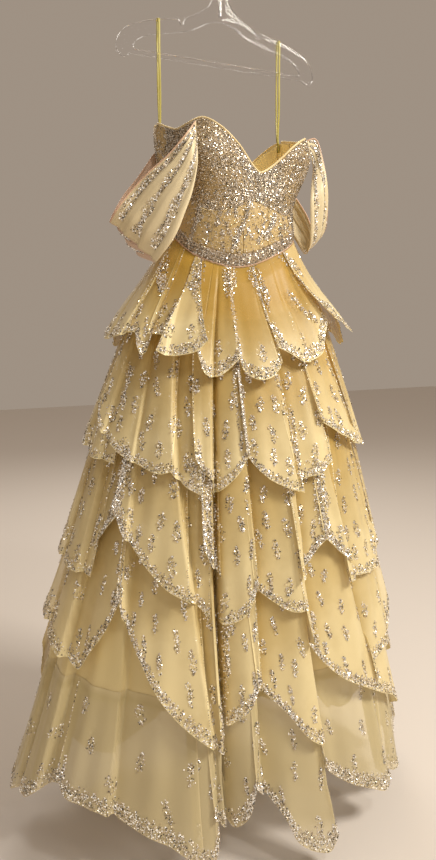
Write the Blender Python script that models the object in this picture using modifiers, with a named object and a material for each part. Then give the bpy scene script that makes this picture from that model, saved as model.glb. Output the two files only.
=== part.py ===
"""An A-line evening dress of petal tiers, hanging on a clear hanger.

Metres, +Z up. The dress faces -Y, the wearer's right side is at -X, and the origin is the
inside top of the hanger's hook. Angles are in degrees round the body: 0 at the centre front,
90 at the +X side, 180 at the centre back.
"""

from collections import namedtuple
from math import cos, exp, pi, radians, sin, sqrt

import bmesh
import bpy

# Cloth
WALL = 0.0012
BODICE_WALL = 0.0016
SEAM_GAP = 0.0004
REST_GAP = 0.0005
HEM_LEVEL = -1.65

# Hanger
PLATE = 0.008
PLATE_EDGE = 0.0012
HOOK_WIRE = 0.0022
HOOK_INSIDE = 0.021
STEM_FOOT = -0.1022
SLOT_HALF = 0.0028
BAR_TOP = -0.1885
BAR_BOTTOM = -0.1965

# Ribbon loops
LOOP_X = 0.1312
LOOP_FOOT_X = 0.1335
LOOP_WIDTH = 0.004
LOOP_WALL = 0.0008
LOOP_TOP = -0.1280
LOOP_FOOT = -0.345

# Zip
TAPE_HALF = 0.0022
PULL_LENGTH = 0.020
PULL_WIDTH = 0.006
PULL_WALL = 0.0014
PULL_PIN = 0.0007
ZIP_TOP = -0.350

Ring = namedtuple("Ring", "at left right centre front back")
Edge = namedtuple("Edge", "angle height")
Fold = namedtuple("Fold", "angle half_width rise")
Petal = namedtuple("Petal", "start end start_height low_height low_at end_height")
Tier = namedtuple("Tier", "name tops out_top out_bottom splits petals")
Station = namedtuple("Station", "upper lower")

# Half-widths to each side, centre, and depths to front and back, by height
BODICE_RINGS = (
    Ring(-0.30, 0.138, 0.138, -0.002, 0.126, 0.112),
    Ring(-0.37, 0.138, 0.138, -0.010, 0.126, 0.110),
    Ring(-0.43, 0.134, 0.136, -0.022, 0.118, 0.104),
    Ring(-0.50, 0.127, 0.129, -0.041, 0.106, 0.098),
    Ring(-0.54, 0.127, 0.129, -0.042, 0.106, 0.098),
    Ring(-0.62, 0.127, 0.129, -0.042, 0.106, 0.098),
)
# The same by the share of the way from the waist seam (0) to the hem level (1)
SKIRT_RINGS = (
    Ring(0.00, 0.127, 0.129, -0.042, 0.106, 0.098),
    Ring(0.06, 0.162, 0.150, -0.046, 0.130, 0.112),
    Ring(0.14, 0.210, 0.182, -0.052, 0.165, 0.126),
    Ring(0.36, 0.291, 0.232, -0.070, 0.207, 0.140),
    Ring(0.59, 0.358, 0.274, -0.080, 0.227, 0.150),
    Ring(0.82, 0.430, 0.305, -0.088, 0.246, 0.156),
    Ring(1.00, 0.480, 0.320, -0.095, 0.260, 0.160),
)
WAIST = (
    Edge(-104, -0.524),
    Edge(-88, -0.530),
    Edge(-50, -0.576),
    Edge(-14, -0.594),
    Edge(27, -0.564),
    Edge(62, -0.534),
    Edge(90, -0.522),
    Edge(180, -0.515),
    Edge(256, -0.524),
)
BAND_HEIGHT = 0.024
NECKLINE = (
    Edge(-104, -0.322),
    Edge(-90, -0.320),
    Edge(-74, -0.334),
    Edge(-60, -0.344),
    Edge(-50, -0.340),
    Edge(-38, -0.331),
    Edge(-27, -0.346),
    Edge(-19, -0.363),
    Edge(-12, -0.379),
    Edge(-7, -0.393),
    Edge(-2, -0.408),
    Edge(5, -0.421),
    Edge(12, -0.416),
    Edge(21, -0.402),
    Edge(28, -0.385),
    Edge(34, -0.368),
    Edge(41, -0.354),
    Edge(50, -0.344),
    Edge(58, -0.340),
    Edge(68, -0.339),
    Edge(76, -0.334),
    Edge(90, -0.322),
    Edge(107, -0.328),
    Edge(120, -0.340),
    Edge(132, -0.355),
    Edge(146, -0.356),
    Edge(162, -0.344),
    Edge(180, -0.334),
    Edge(198, -0.344),
    Edge(214, -0.356),
    Edge(228, -0.355),
    Edge(240, -0.340),
    Edge(256, -0.322),
)
CUP_FOOT = (
    Edge(2, -0.474),
    Edge(18, -0.486),
    Edge(34, -0.492),
    Edge(50, -0.482),
    Edge(66, -0.440),
    Edge(76, -0.385),
)
# The dress hangs turned a little, so the right cup stands further round than the left
CUP_RISE = {-1: 0.034, 1: 0.039}
CUP_ANGLE = {-1: 38, 1: 50}
CUP_HALF_ANGLE = 36
CUP_HEIGHT = {-1: -0.385, 1: -0.374}
CUP_HALF_HEIGHT = 0.11
CUP_OUTER = 76

# Bodice columns, and the shares of the way down a panel at which its rows lie
CUP_COLUMNS = (6, 12, 20, 28, 34, 42, 49, 56, 62, 69)
BACK_BODICE_COLUMNS = (97, 104, 114, 125, 136, 147, 158, 169)
CUP_SHARES = (0.0, 0.1, 0.36, 0.68, 1.0)
THIRDS = (0.0, 0.33, 0.67, 1.0)
QUARTERS = (0.0, 0.25, 0.5, 0.75, 1.0)
DRAW_IN = 0.25
BACK_END = 180 - 1.16

# Ridges (rise > 0) and valleys that run down the skirt, with their size at the hem
FOLDS = (
    Fold(-96, 8, 0.014),
    Fold(-80, 8, -0.012),
    Fold(-68, 6, 0.016),
    Fold(-58, 5, -0.010),
    Fold(-48, 6, 0.010),
    Fold(-38, 4, -0.006),
    Fold(-30, 5, 0.030),
    Fold(-22, 4, -0.026),
    Fold(-17, 4, 0.016),
    Fold(-11, 4, -0.016),
    Fold(-1, 7, 0.028),
    Fold(10, 5, -0.014),
    Fold(21, 6, 0.018),
    Fold(31, 6, -0.012),
    Fold(43, 7, 0.018),
    Fold(57, 8, -0.012),
    Fold(73, 9, 0.016),
    Fold(92, 9, -0.012),
    Fold(110, 9, 0.016),
    Fold(128, 9, -0.012),
    Fold(147, 9, 0.016),
    Fold(165, 9, -0.012),
    Fold(183, 9, 0.016),
    Fold(201, 9, -0.012),
    Fold(219, 9, 0.016),
    Fold(237, 9, -0.012),
)
FOLD_GROWTH = 1.2

# Angles of the skirt's columns of points, close together where the folds are narrow
FRONT_COLUMNS = (-104, -96, -88, -80, -72, -68, -62, -58, -54, -48, -42, -38, -34, -31, -28, -25)
MIDDLE_COLUMNS = (-22, -18.5, -14.5, -11, -7, -1, 5, 10, 16, 21, 26, 31, 37, 43, 49, 57, 64)
BACK_COLUMNS = (73, 82, 92, 101, 110, 119, 128, 138, 147, 156, 165, 174, 183, 192, 201, 210, 219)
LAST_COLUMNS = (228, 237, 246, 256)
COLUMNS = FRONT_COLUMNS + MIDDLE_COLUMNS + BACK_COLUMNS + LAST_COLUMNS

LINING_ROWS = (0.0, 0.045, 0.09, 0.16, 0.24, 0.38, 0.47, 0.70, 0.80)
LINING_SPLITS = (-104, -38, 31, 92, 165, 256)
TIERS = (
    Tier(
        "tier1", (0.0, 0.045, 0.09), 0.0017, 0.024, (-104, -54, -18.5, 37, 147, 256),
        (
            Petal(-104, -72, -0.720, -0.724, 0.5, -0.712),
            Petal(-72, -62, -0.716, -0.748, 0.7, -0.722),
            Petal(-62, -54, -0.716, -0.718, 0.5, -0.714),
            Petal(-54, -34, -0.744, -0.750, 0.4, -0.728),
            Petal(-34, -18.5, -0.752, -0.790, 0.2, -0.758),
            Petal(-18.5, -1, -0.764, -0.794, 0.35, -0.768),
            Petal(-1, 37, -0.744, -0.766, 0.35, -0.690),
            Petal(37, 64, -0.690, -0.712, 0.8, -0.706),
            Petal(64, 92, -0.700, -0.735, 0.5, -0.705),
            Petal(92, 119, -0.705, -0.745, 0.5, -0.710),
            Petal(119, 147, -0.710, -0.740, 0.4, -0.705),
            Petal(147, 174, -0.705, -0.748, 0.6, -0.708),
            Petal(174, 201, -0.708, -0.742, 0.4, -0.706),
            Petal(201, 228, -0.706, -0.740, 0.6, -0.705),
            Petal(228, 256, -0.705, -0.738, 0.5, -0.715),
        ),
    ),
    Tier(
        "tier2", (0.09, 0.16), 0.0017, 0.018, (-104, -42, -18.5, 49, 147, 256),
        (
            Petal(-104, -68, -0.900, -0.935, 0.75, -0.922),
            Petal(-68, -42, -0.915, -0.950, 0.75, -0.944),
            Petal(-42, -34, -0.948, -0.986, 0.95, -0.980),
            Petal(-34, -28, -0.936, -0.962, 0.9, -0.960),
            Petal(-28, -18.5, -0.982, -0.984, 0.1, -0.918),
            Petal(-18.5, 5, -0.916, -0.994, 0.95, -0.985),
            Petal(5, 16, -0.966, -0.968, 0.3, -0.930),
            Petal(16, 49, -0.876, -0.926, 0.9, -0.924),
            Petal(49, 82, -0.890, -0.935, 0.5, -0.895),
            Petal(82, 110, -0.890, -0.940, 0.5, -0.890),
            Petal(110, 147, -0.890, -0.945, 0.45, -0.892),
            Petal(147, 183, -0.892, -0.942, 0.55, -0.890),
            Petal(183, 219, -0.890, -0.946, 0.5, -0.892),
            Petal(219, 256, -0.892, -0.936, 0.5, -0.900),
        ),
    ),
    Tier(
        "tier3", (0.24, 0.38), 0.0017, 0.017, (-104, -62, -22, 21, 138, 256),
        (
            Petal(-104, -72, -1.095, -1.134, 0.8, -1.128),
            Petal(-72, -62, -1.095, -1.096, 0.1, -1.022),
            Petal(-62, -34, -1.022, -1.158, 0.95, -1.156),
            Petal(-34, -28, -1.156, -1.190, 0.9, -1.186),
            Petal(-28, -22, -1.090, -1.115, 0.7, -1.112),
            Petal(-22, -14.5, -1.200, -1.202, 0.2, -1.146),
            Petal(-14.5, -1, -1.150, -1.198, 0.8, -1.192),
            Petal(-1, 10, -1.140, -1.141, 0.1, -1.082),
            Petal(10, 21, -1.082, -1.126, 0.95, -1.124),
            Petal(21, 49, -1.160, -1.174, 0.6, -1.165),
            Petal(49, 82, -1.090, -1.160, 0.5, -1.090),
            Petal(82, 110, -1.090, -1.165, 0.5, -1.092),
            Petal(110, 138, -1.092, -1.160, 0.5, -1.090),
            Petal(138, 174, -1.090, -1.168, 0.5, -1.092),
            Petal(174, 210, -1.092, -1.162, 0.5, -1.090),
            Petal(210, 256, -1.090, -1.160, 0.5, -1.095),
        ),
    ),
    Tier(
        "tier4", (0.38, 0.47), 0.0017, 0.017, (-104, -58, -22, 64, 156, 256),
        (
            Petal(-104, -58, -1.215, -1.292, 0.78, -1.150),
            Petal(-58, -22, -1.130, -1.412, 0.97, -1.405),
            Petal(-22, -14.5, -1.388, -1.389, 0.1, -1.306),
            Petal(-14.5, 5, -1.320, -1.436, 0.9, -1.425),
            Petal(5, 64, -1.285, -1.490, 0.92, -1.470),
            Petal(64, 92, -1.300, -1.420, 0.5, -1.305),
            Petal(92, 119, -1.300, -1.410, 0.5, -1.300),
            Petal(119, 156, -1.300, -1.425, 0.5, -1.305),
            Petal(156, 192, -1.305, -1.415, 0.5, -1.300),
            Petal(192, 228, -1.300, -1.410, 0.5, -1.290),
            Petal(228, 256, -1.290, -1.380, 0.5, -1.240),
        ),
    ),
    Tier(
        "tier5", (0.70,), 0.0032, 0.012, (-104, -62, -22, 64, 156, 256),
        (
            Petal(-104, -62, -1.555, -1.556, 0.1, -1.488),
            Petal(-62, -22, -1.476, -1.598, 0.9, -1.585),
            Petal(-22, -14.5, -1.536, -1.556, 0.4, -1.490),
            Petal(-14.5, 5, -1.488, -1.626, 0.8, -1.610),
            Petal(5, 37, -1.484, -1.592, 0.9, -1.586),
            Petal(37, 64, -1.540, -1.610, 0.5, -1.550),
            Petal(64, 101, -1.550, -1.620, 0.5, -1.555),
            Petal(101, 128, -1.555, -1.625, 0.5, -1.560),
            Petal(128, 156, -1.560, -1.630, 0.5, -1.560),
            Petal(156, 192, -1.560, -1.628, 0.5, -1.555),
            Petal(192, 228, -1.555, -1.620, 0.5, -1.550),
            Petal(228, 256, -1.550, -1.600, 0.4, -1.560),
        ),
    ),
)

# Sleeves: each station is the upper and the lower edge of the draped band
SLEEVE_LEFT = (
    Station((-0.131, -0.136, -0.362), (-0.119, -0.152, -0.411)),
    Station((-0.162, -0.122, -0.400), (-0.127, -0.148, -0.461)),
    Station((-0.191, -0.104, -0.427), (-0.144, -0.136, -0.513)),
    Station((-0.218, -0.086, -0.457), (-0.168, -0.118, -0.555)),
    Station((-0.242, -0.074, -0.490), (-0.184, -0.098, -0.580)),
    Station((-0.252, -0.058, -0.514), (-0.200, -0.076, -0.582)),
    Station((-0.240, -0.042, -0.497), (-0.200, -0.054, -0.568)),
    Station((-0.212, -0.022, -0.458), (-0.180, -0.030, -0.540)),
    Station((-0.176, -0.002, -0.418), (-0.158, -0.004, -0.500)),
)
SLEEVE_RIGHT = (
    Station((0.160, -0.099, -0.338), (0.153, -0.098, -0.388)),
    Station((0.170, -0.107, -0.374), (0.141, -0.113, -0.428)),
    Station((0.177, -0.113, -0.416), (0.132, -0.126, -0.465)),
    Station((0.186, -0.106, -0.460), (0.140, -0.116, -0.508)),
    Station((0.190, -0.094, -0.504), (0.150, -0.098, -0.540)),
    Station((0.188, -0.074, -0.524), (0.158, -0.074, -0.556)),
    Station((0.190, -0.046, -0.508), (0.166, -0.046, -0.552)),
    Station((0.190, -0.020, -0.470), (0.170, -0.018, -0.530)),
    Station((0.172, 0.004, -0.424), (0.160, 0.006, -0.490)),
)
SLEEVE_FOLD = 5
SLEEVE_FRONT_ANGLE = {-1: -42, 1: 56}
SLEEVE_BACK_ANGLE = 104

# Hanger outline, one half: the outer edge from the neck to the bar, then the window
SHOULDER = (
    (0.0150, -0.060),
    (0.0190, -0.078),
    (0.0300, -0.092),
    (0.0480, -0.104),
    (0.0680, -0.114),
    (0.0760, -0.120),
    (0.0800, -0.130),
    (0.0855, -0.1305),
    (0.0890, -0.1225),
    (0.1000, -0.1225),
    (0.1370, -0.1300),
    (0.1670, -0.1390),
    (0.1920, -0.1500),
    (0.2080, -0.1650),
    (0.2150, -0.1830),
    (0.2130, -0.1960),
    (0.2050, -0.2030),
    (0.1950, -0.2020),
    (0.1890, -0.1965),
)
WINDOW = (
    (0.0000, -0.1130),
    (0.0140, -0.1145),
    (0.0320, -0.1210),
    (0.0560, -0.1345),
    (0.0900, -0.1450),
    (0.1400, -0.1560),
    (0.1680, -0.1670),
    (0.1800, -0.1780),
    (0.1830, -0.1850),
    (0.1800, -0.1885),
)

Look = namedtuple("Look", "colour roughness metallic alpha")
LOOKS = {
    "organza": Look((0.86, 0.74, 0.42), 0.5, 0.0, 1.0),
    "beaded": Look((0.66, 0.57, 0.46), 0.35, 0.3, 1.0),
    "mesh": Look((0.82, 0.68, 0.36), 0.55, 0.0, 1.0),
    "satin": Look((0.85, 0.62, 0.20), 0.35, 0.0, 1.0),
    "binding": Look((0.82, 0.62, 0.42), 0.4, 0.0, 1.0),
    "ribbon": Look((0.42, 0.34, 0.08), 0.4, 0.0, 1.0),
    "clear": Look((0.9, 0.9, 0.92), 0.05, 0.0, 0.35),
    "chrome": Look((0.8, 0.8, 0.8), 0.15, 1.0, 1.0),
}


def clear_scene():
    for old in list(bpy.data.objects):
        bpy.data.objects.remove(old, do_unlink=True)


def material(slot):
    made = bpy.data.materials.get(slot)
    if made:
        return made
    look = LOOKS[slot]
    made = bpy.data.materials.new(slot)
    made.use_nodes = True
    shader = made.node_tree.nodes["Principled BSDF"]
    shader.inputs["Base Color"].default_value = (*look.colour, 1.0)
    shader.inputs["Roughness"].default_value = look.roughness
    shader.inputs["Metallic"].default_value = look.metallic
    shader.inputs["Alpha"].default_value = look.alpha
    return made


def place(name, data, slot):
    obj = bpy.data.objects.new(name, data)
    data.materials.append(material(slot))
    dress.objects.link(obj)
    return obj


def eased(rows, at):
    """The named columns of a table at a place between its rows, on a smooth curve."""
    keys = [row[0] for row in rows]
    at = min(max(at, min(keys)), max(keys))
    order = rows if keys[0] < keys[-1] else tuple(reversed(rows))
    spans = len(order) - 1
    i = next((n for n in range(spans) if at <= order[n + 1][0]), spans - 1)
    before, low = order[max(i - 1, 0)], order[i]
    high, after = order[i + 1], order[min(i + 2, spans)]
    span = high[0] - low[0]
    u = (at - low[0]) / span
    result = []
    for k in range(1, len(low)):
        into = (high[k] - before[k]) / (high[0] - before[0]) * span
        out = (after[k] - low[k]) / (after[0] - low[0]) * span
        result.append(
            (2 * u**3 - 3 * u**2 + 1) * low[k]
            + (u**3 - 2 * u**2 + u) * into
            + (3 * u**2 - 2 * u**3) * high[k]
            + (u**3 - u**2) * out
        )
    return result


def bump(x):
    return cos(pi / 2 * x) ** 2 if abs(x) < 1 else 0.0


def round_point(sizes, angle, height, out):
    """A point on a ring of four quarter ellipses, moved out along its normal."""
    left, right, centre, front, back = sizes
    t = radians(angle)
    across = left if sin(t) < 0 else right
    along = front if cos(t) > 0 else back
    nx, ny = sin(t) / across, -cos(t) / along
    size = sqrt(nx * nx + ny * ny)
    return (
        across * sin(t) + nx / size * out,
        centre - along * cos(t) + ny / size * out,
        height,
    )


def waist(angle):
    return eased(WAIST, (angle + 104) % 360 - 104)[0]


def neckline(angle):
    return eased(NECKLINE, (angle + 104) % 360 - 104)[0]


def cup_foot(angle):
    return eased(CUP_FOOT, abs(angle))[0]


def bodice(angle, height, out):
    turned = (angle + 180) % 360 - 180
    side = 1 if turned > 0 else -1
    rise = CUP_RISE[side] * bump((abs(turned) - CUP_ANGLE[side]) / CUP_HALF_ANGLE)
    rise *= bump((height - CUP_HEIGHT[side]) / CUP_HALF_HEIGHT)
    return round_point(eased(BODICE_RINGS, height), angle, height, out + rise)


def skirt_height(angle, share):
    return waist(angle) + share * (HEM_LEVEL - waist(angle))


def skirt(angle, height, out):
    share = (waist(angle) - height) / (waist(angle) - HEM_LEVEL)
    fold = sum(f.rise * bump((angle - f.angle) / f.half_width) for f in FOLDS)
    fold *= max(share, 0.0) ** FOLD_GROWTH
    return round_point(eased(SKIRT_RINGS, share), angle, height, out + fold)


def cloth(name, rows, slot, wall=WALL, inward=True):
    """A wall through rows of points that run left to right, top row first, seen from outside."""
    mesh = bmesh.new()
    grid = [[mesh.verts.new(p) for p in row] for row in rows]
    for upper, lower in zip(grid, grid[1:]):
        for i in range(len(upper) - 1):
            mesh.faces.new((upper[i], lower[i], lower[i + 1], upper[i + 1]))
    data = bpy.data.meshes.new(name)
    mesh.to_mesh(data)
    mesh.free()
    data.shade_smooth()
    obj = place(name, data, slot)
    thick = obj.modifiers.new("wall", "SOLIDIFY")
    thick.thickness = wall
    thick.offset = -1 if inward else 1
    return obj


def columns_between(start, end):
    """The skirt's columns of one panel, its two ends drawn in to leave the seam open."""
    inside = [c for c in COLUMNS if start < c < end]
    draw_in = 0.09
    return [start + draw_in, *inside, end - draw_in]


def petal_bottom(tier, angle):
    """The scalloped lower edge of a tier, by angle. Two petals share the point between them."""
    found = []
    for p in tier.petals:
        if not p.start - 0.2 <= angle <= p.end + 0.2:
            continue
        u = min(max((angle - p.start) / (p.end - p.start), 0.0), 1.0)
        if u < p.low_at:
            share = sin(pi / 2 * u / p.low_at) ** 0.8
            found.append(p.start_height + (p.low_height - p.start_height) * share)
        else:
            share = cos(pi / 2 * (u - p.low_at) / (1 - p.low_at)) ** 0.8
            found.append(p.end_height + (p.low_height - p.end_height) * share)
    return sum(found) / len(found)


def make_tier(tier):
    top = tier.tops[0]
    for number, (start, end) in enumerate(zip(tier.splits, tier.splits[1:]), 1):
        columns = columns_between(start, end)
        heights = [[skirt_height(c, share) for c in columns] for share in tier.tops]
        bottoms = [petal_bottom(tier, c) for c in columns]
        for part in (0.5, 1.0):
            last = heights[len(tier.tops) - 1]
            heights.append([h + (b - h) * part for h, b in zip(last, bottoms)])
        rows = []
        for row in heights:
            points = []
            for column, height, bottom in zip(columns, row, bottoms):
                high = skirt_height(column, top)
                down = (high - height) / (high - bottom)
                out = tier.out_top + (tier.out_bottom - tier.out_top) * down**1.4
                drop = SEAM_GAP if tier.name == "tier1" else 0.0
                points.append(skirt(column, height - drop, out))
            rows.append(points)
        cloth(f"{tier.name}_panel{number}", rows, "organza")


def make_lining():
    for number, (start, end) in enumerate(zip(LINING_SPLITS, LINING_SPLITS[1:]), 1):
        columns = columns_between(start, end)
        rows = []
        for share in LINING_ROWS:
            drop = SEAM_GAP if share == 0.0 else 0.0
            rows.append([skirt(c, skirt_height(c, share) - drop, 0.0) for c in columns])
        cloth(f"lining_gore{number}", rows, "satin")


def under_cup(angle):
    """The upper edge of the panels below the cup, its gap measured across the slanted seam."""
    rise = cup_foot(angle + 1) - cup_foot(angle - 1)
    slope = rise / (radians(2) * BODICE_RINGS[2].right)
    return cup_foot(angle) - SEAM_GAP * sqrt(1 + slope * slope)


def band_top(angle):
    return waist(angle) + BAND_HEIGHT


def above_band(angle):
    return band_top(angle) + SEAM_GAP


def between(top, foot, angle, share, out):
    height = top(angle) + (foot(angle) - top(angle)) * share
    return bodice(angle, height, out)


def make_panel(name, slot, angles, top, foot, shares, wall=BODICE_WALL, out=0.0):
    """A bodice panel between two edges given as functions of the angle."""
    rows = [[between(top, foot, a, share, out) for a in angles] for share in shares]
    cloth(name, rows, slot, wall)


def mirrored(angles):
    return [-a for a in reversed(angles)]


def make_bodice():
    deep = -BODICE_WALL - REST_GAP
    for name in ("left", "right"):
        cup = [0.15, *CUP_COLUMNS, CUP_OUTER]
        front = [12 + DRAW_IN, *CUP_COLUMNS[2:], CUP_OUTER]
        side = [CUP_OUTER + 0.35, 83, 90 - DRAW_IN]
        back = [90 + DRAW_IN, *BACK_BODICE_COLUMNS, BACK_END]
        lined = back[2:]
        if name == "left":
            cup, front, side = mirrored(cup), mirrored(front), mirrored(side)
            back, lined = mirrored(back), mirrored(lined)
        make_panel(f"cup_{name}", "beaded", cup, neckline, cup_foot, CUP_SHARES)
        make_panel(f"bodice_front_{name}", "mesh", front, under_cup, above_band, THIRDS)
        make_panel(f"bodice_side_{name}", "mesh", side, neckline, above_band, QUARTERS)
        make_panel(f"bodice_back_{name}", "mesh", back, neckline, above_band, QUARTERS)
        make_panel(
            f"lining_back_{name}", "satin", lined,
            lambda a: neckline(a) - 0.003, band_top, QUARTERS, WALL, deep,
        )
        make_binding(f"binding_back_{name}", back)
    centre = [-12 + DRAW_IN, -6, 0, 6, 12 - DRAW_IN]
    make_panel("bodice_front_centre", "mesh", centre, under_cup, above_band, THIRDS)
    edge = [*CUP_COLUMNS, CUP_OUTER, 83, 90 - DRAW_IN]
    make_binding("binding_front", [*mirrored(edge), 0, *edge])


def make_binding(name, angles):
    """The rolled edge: a thin tube that follows the neckline."""
    radius = 0.0020
    curve = bpy.data.curves.new(name, "CURVE")
    curve.dimensions = "3D"
    curve.bevel_depth = radius
    curve.bevel_resolution = 1
    curve.use_fill_caps = True
    curve.twist_mode = "Z_UP"
    line = curve.splines.new("POLY")
    line.points.add(len(angles) - 1)
    for point, angle in zip(line.points, angles):
        here = bodice(angle, neckline(angle), -BODICE_WALL / 2)
        ahead = bodice(angle + 1, neckline(angle + 1), 0)
        behind = bodice(angle - 1, neckline(angle - 1), 0)
        run = sqrt((ahead[0] - behind[0]) ** 2 + (ahead[1] - behind[1]) ** 2)
        slope = (ahead[2] - behind[2]) / run
        lift = (radius + SEAM_GAP) * sqrt(1 + slope * slope)
        point.co = (here[0], here[1], here[2] + lift, 1.0)
    place(name, curve, "binding")


def make_waistband():
    half = [*CUP_COLUMNS, CUP_OUTER, 83, 90 - DRAW_IN]
    back = [90 + DRAW_IN, *BACK_BODICE_COLUMNS, BACK_END]
    spans = {
        "waistband_front": [*mirrored(half), 0, *half],
        "waistband_back_right": back,
        "waistband_back_left": mirrored(back),
    }
    for name, angles in spans.items():
        rows = []
        for share in (1.0, 0.0):
            rows.append([bodice(a, waist(a) + BAND_HEIGHT * share, 0.0008) for a in angles])
        cloth(name, rows, "beaded", 0.0022)


def make_sleeve(name, side, stations):
    """A band from the cup's top, down round where the arm goes, and up to the back."""
    front, back = SLEEVE_FRONT_ANGLE[side], side * SLEEVE_BACK_ANGLE
    # The band's wall is inward, so its two ends lie a wall's thickness out of the bodice
    clear = WALL - 0.0001
    start = Station(
        between(neckline, cup_foot, front, 0.0, clear),
        between(neckline, cup_foot, front, CUP_SHARES[1], clear),
    )
    end = Station(
        between(neckline, above_band, back, QUARTERS[1], clear),
        between(neckline, above_band, back, QUARTERS[2], clear),
    )
    path = [start, *stations, end]
    rows = []
    for number, station in enumerate(path):
        points = []
        along = number / (len(path) - 1)
        belly = 0.010 * sin(pi * along)
        for u in QUARTERS:
            x, y, z = (a + (b - a) * u for a, b in zip(*station))
            points.append((x + side * belly * sin(pi * u), y - belly * 0.6 * sin(pi * u), z))
        rows.append(points)
    parts = {"front": rows[: SLEEVE_FOLD + 1], "back": rows[SLEEVE_FOLD:]}
    joint = [
        tuple(a + (b - a) * 0.05 for a, b in zip(*pair))
        for pair in zip(parts["back"][0], parts["back"][1])
    ]
    parts["back"] = [joint, *parts["back"][1:]]
    for part, lines in parts.items():
        columns = [list(line) for line in zip(*lines)]
        if side < 0:
            columns = [line[::-1] for line in columns]
        cloth(f"sleeve_{name}_{part}", columns, "organza")


def make_loop(name, side):
    """A ribbon that goes up from inside the side seam, over the hanger's arm and down again."""
    half = PLATE / 2 + REST_GAP + LOOP_WALL
    foot = 0.0008 + LOOP_WALL
    path = [(LOOP_FOOT_X, foot, LOOP_FOOT), (LOOP_FOOT_X, foot, -0.334)]
    path += [(LOOP_X, foot, -0.322), (LOOP_X, half, -0.270), (LOOP_X, half, LOOP_TOP - 0.004)]
    path += [(LOOP_X, half * 0.75, LOOP_TOP - 0.0006), (LOOP_X, 0.0, LOOP_TOP + LOOP_WALL)]
    path += [(x, -y, z) for x, y, z in reversed(path[:-1])]
    rows = []
    for edge in (LOOP_WIDTH / 2, -LOOP_WIDTH / 2):
        rows.append([(side * x + edge, -y, z) for x, y, z in path])
    cloth(name, rows, "ribbon", LOOP_WALL)


def hanger_outline():
    """The outer edge as one closed loop, with the slot that takes the hook's stem."""
    right = [(SLOT_HALF, STEM_FOOT - 0.0003), (SLOT_HALF, -0.058), (0.010, -0.057), *SHOULDER]
    right += [(0.10, BAR_BOTTOM), (0.0, BAR_BOTTOM)]
    return right + [(-x, z) for x, z in reversed(right[:-1])]


def hanger_window():
    right = [*WINDOW, (0.09, BAR_TOP), (0.0, BAR_TOP)]
    return right + [(-x, z) for x, z in reversed(right[1:-1])]


def make_hanger():
    curve = bpy.data.curves.new("hanger_body", "CURVE")
    curve.dimensions = "2D"
    curve.fill_mode = "BOTH"
    curve.extrude = PLATE / 2 - PLATE_EDGE
    curve.bevel_depth = PLATE_EDGE
    curve.bevel_resolution = 0
    curve.offset = -PLATE_EDGE
    for outline in (hanger_outline(), hanger_window()):
        line = curve.splines.new("POLY")
        line.use_cyclic_u = True
        line.points.add(len(outline) - 1)
        for point, (x, z) in zip(line.points, outline):
            point.co = (x, z, 0.0, 1.0)
    body = place("hanger_body", curve, "clear")
    body.rotation_euler = (pi / 2, 0.0, 0.0)


def make_hook():
    centre = HOOK_INSIDE + HOOK_WIRE
    curve = bpy.data.curves.new("hanger_hook", "CURVE")
    curve.dimensions = "3D"
    curve.bevel_depth = HOOK_WIRE
    curve.bevel_resolution = 2
    curve.use_fill_caps = True
    points = []
    for degrees in range(205, -41, -15):
        t = radians(degrees)
        points.append((centre * cos(t), centre * sin(t) - HOOK_INSIDE))
    points += [(0.0125, -0.0415), (0.0055, -0.0475), (0.0012, -0.0535), (0.0, -0.061)]
    points += [(0.0, -0.080), (0.0, STEM_FOOT)]
    line = curve.splines.new("POLY")
    line.points.add(len(points) - 1)
    for point, (x, z) in zip(line.points, points):
        point.co = (x, 0.0, z, 1.0)
    place("hanger_hook", curve, "chrome")


def box(name, slot, low, high, edge=0.0):
    middle = [(a + b) / 2 for a, b in zip(low, high)]
    mesh = bmesh.new()
    bmesh.ops.create_cube(mesh, size=1.0)
    for vert in mesh.verts:
        vert.co = [c * (b - a) for c, a, b in zip(vert.co, low, high)]
    data = bpy.data.meshes.new(name)
    mesh.to_mesh(data)
    mesh.free()
    obj = place(name, data, slot)
    obj.location = middle
    if edge:
        bevel = obj.modifiers.new("edge", "BEVEL")
        bevel.width = edge
        bevel.segments = 2
    return obj


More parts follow.
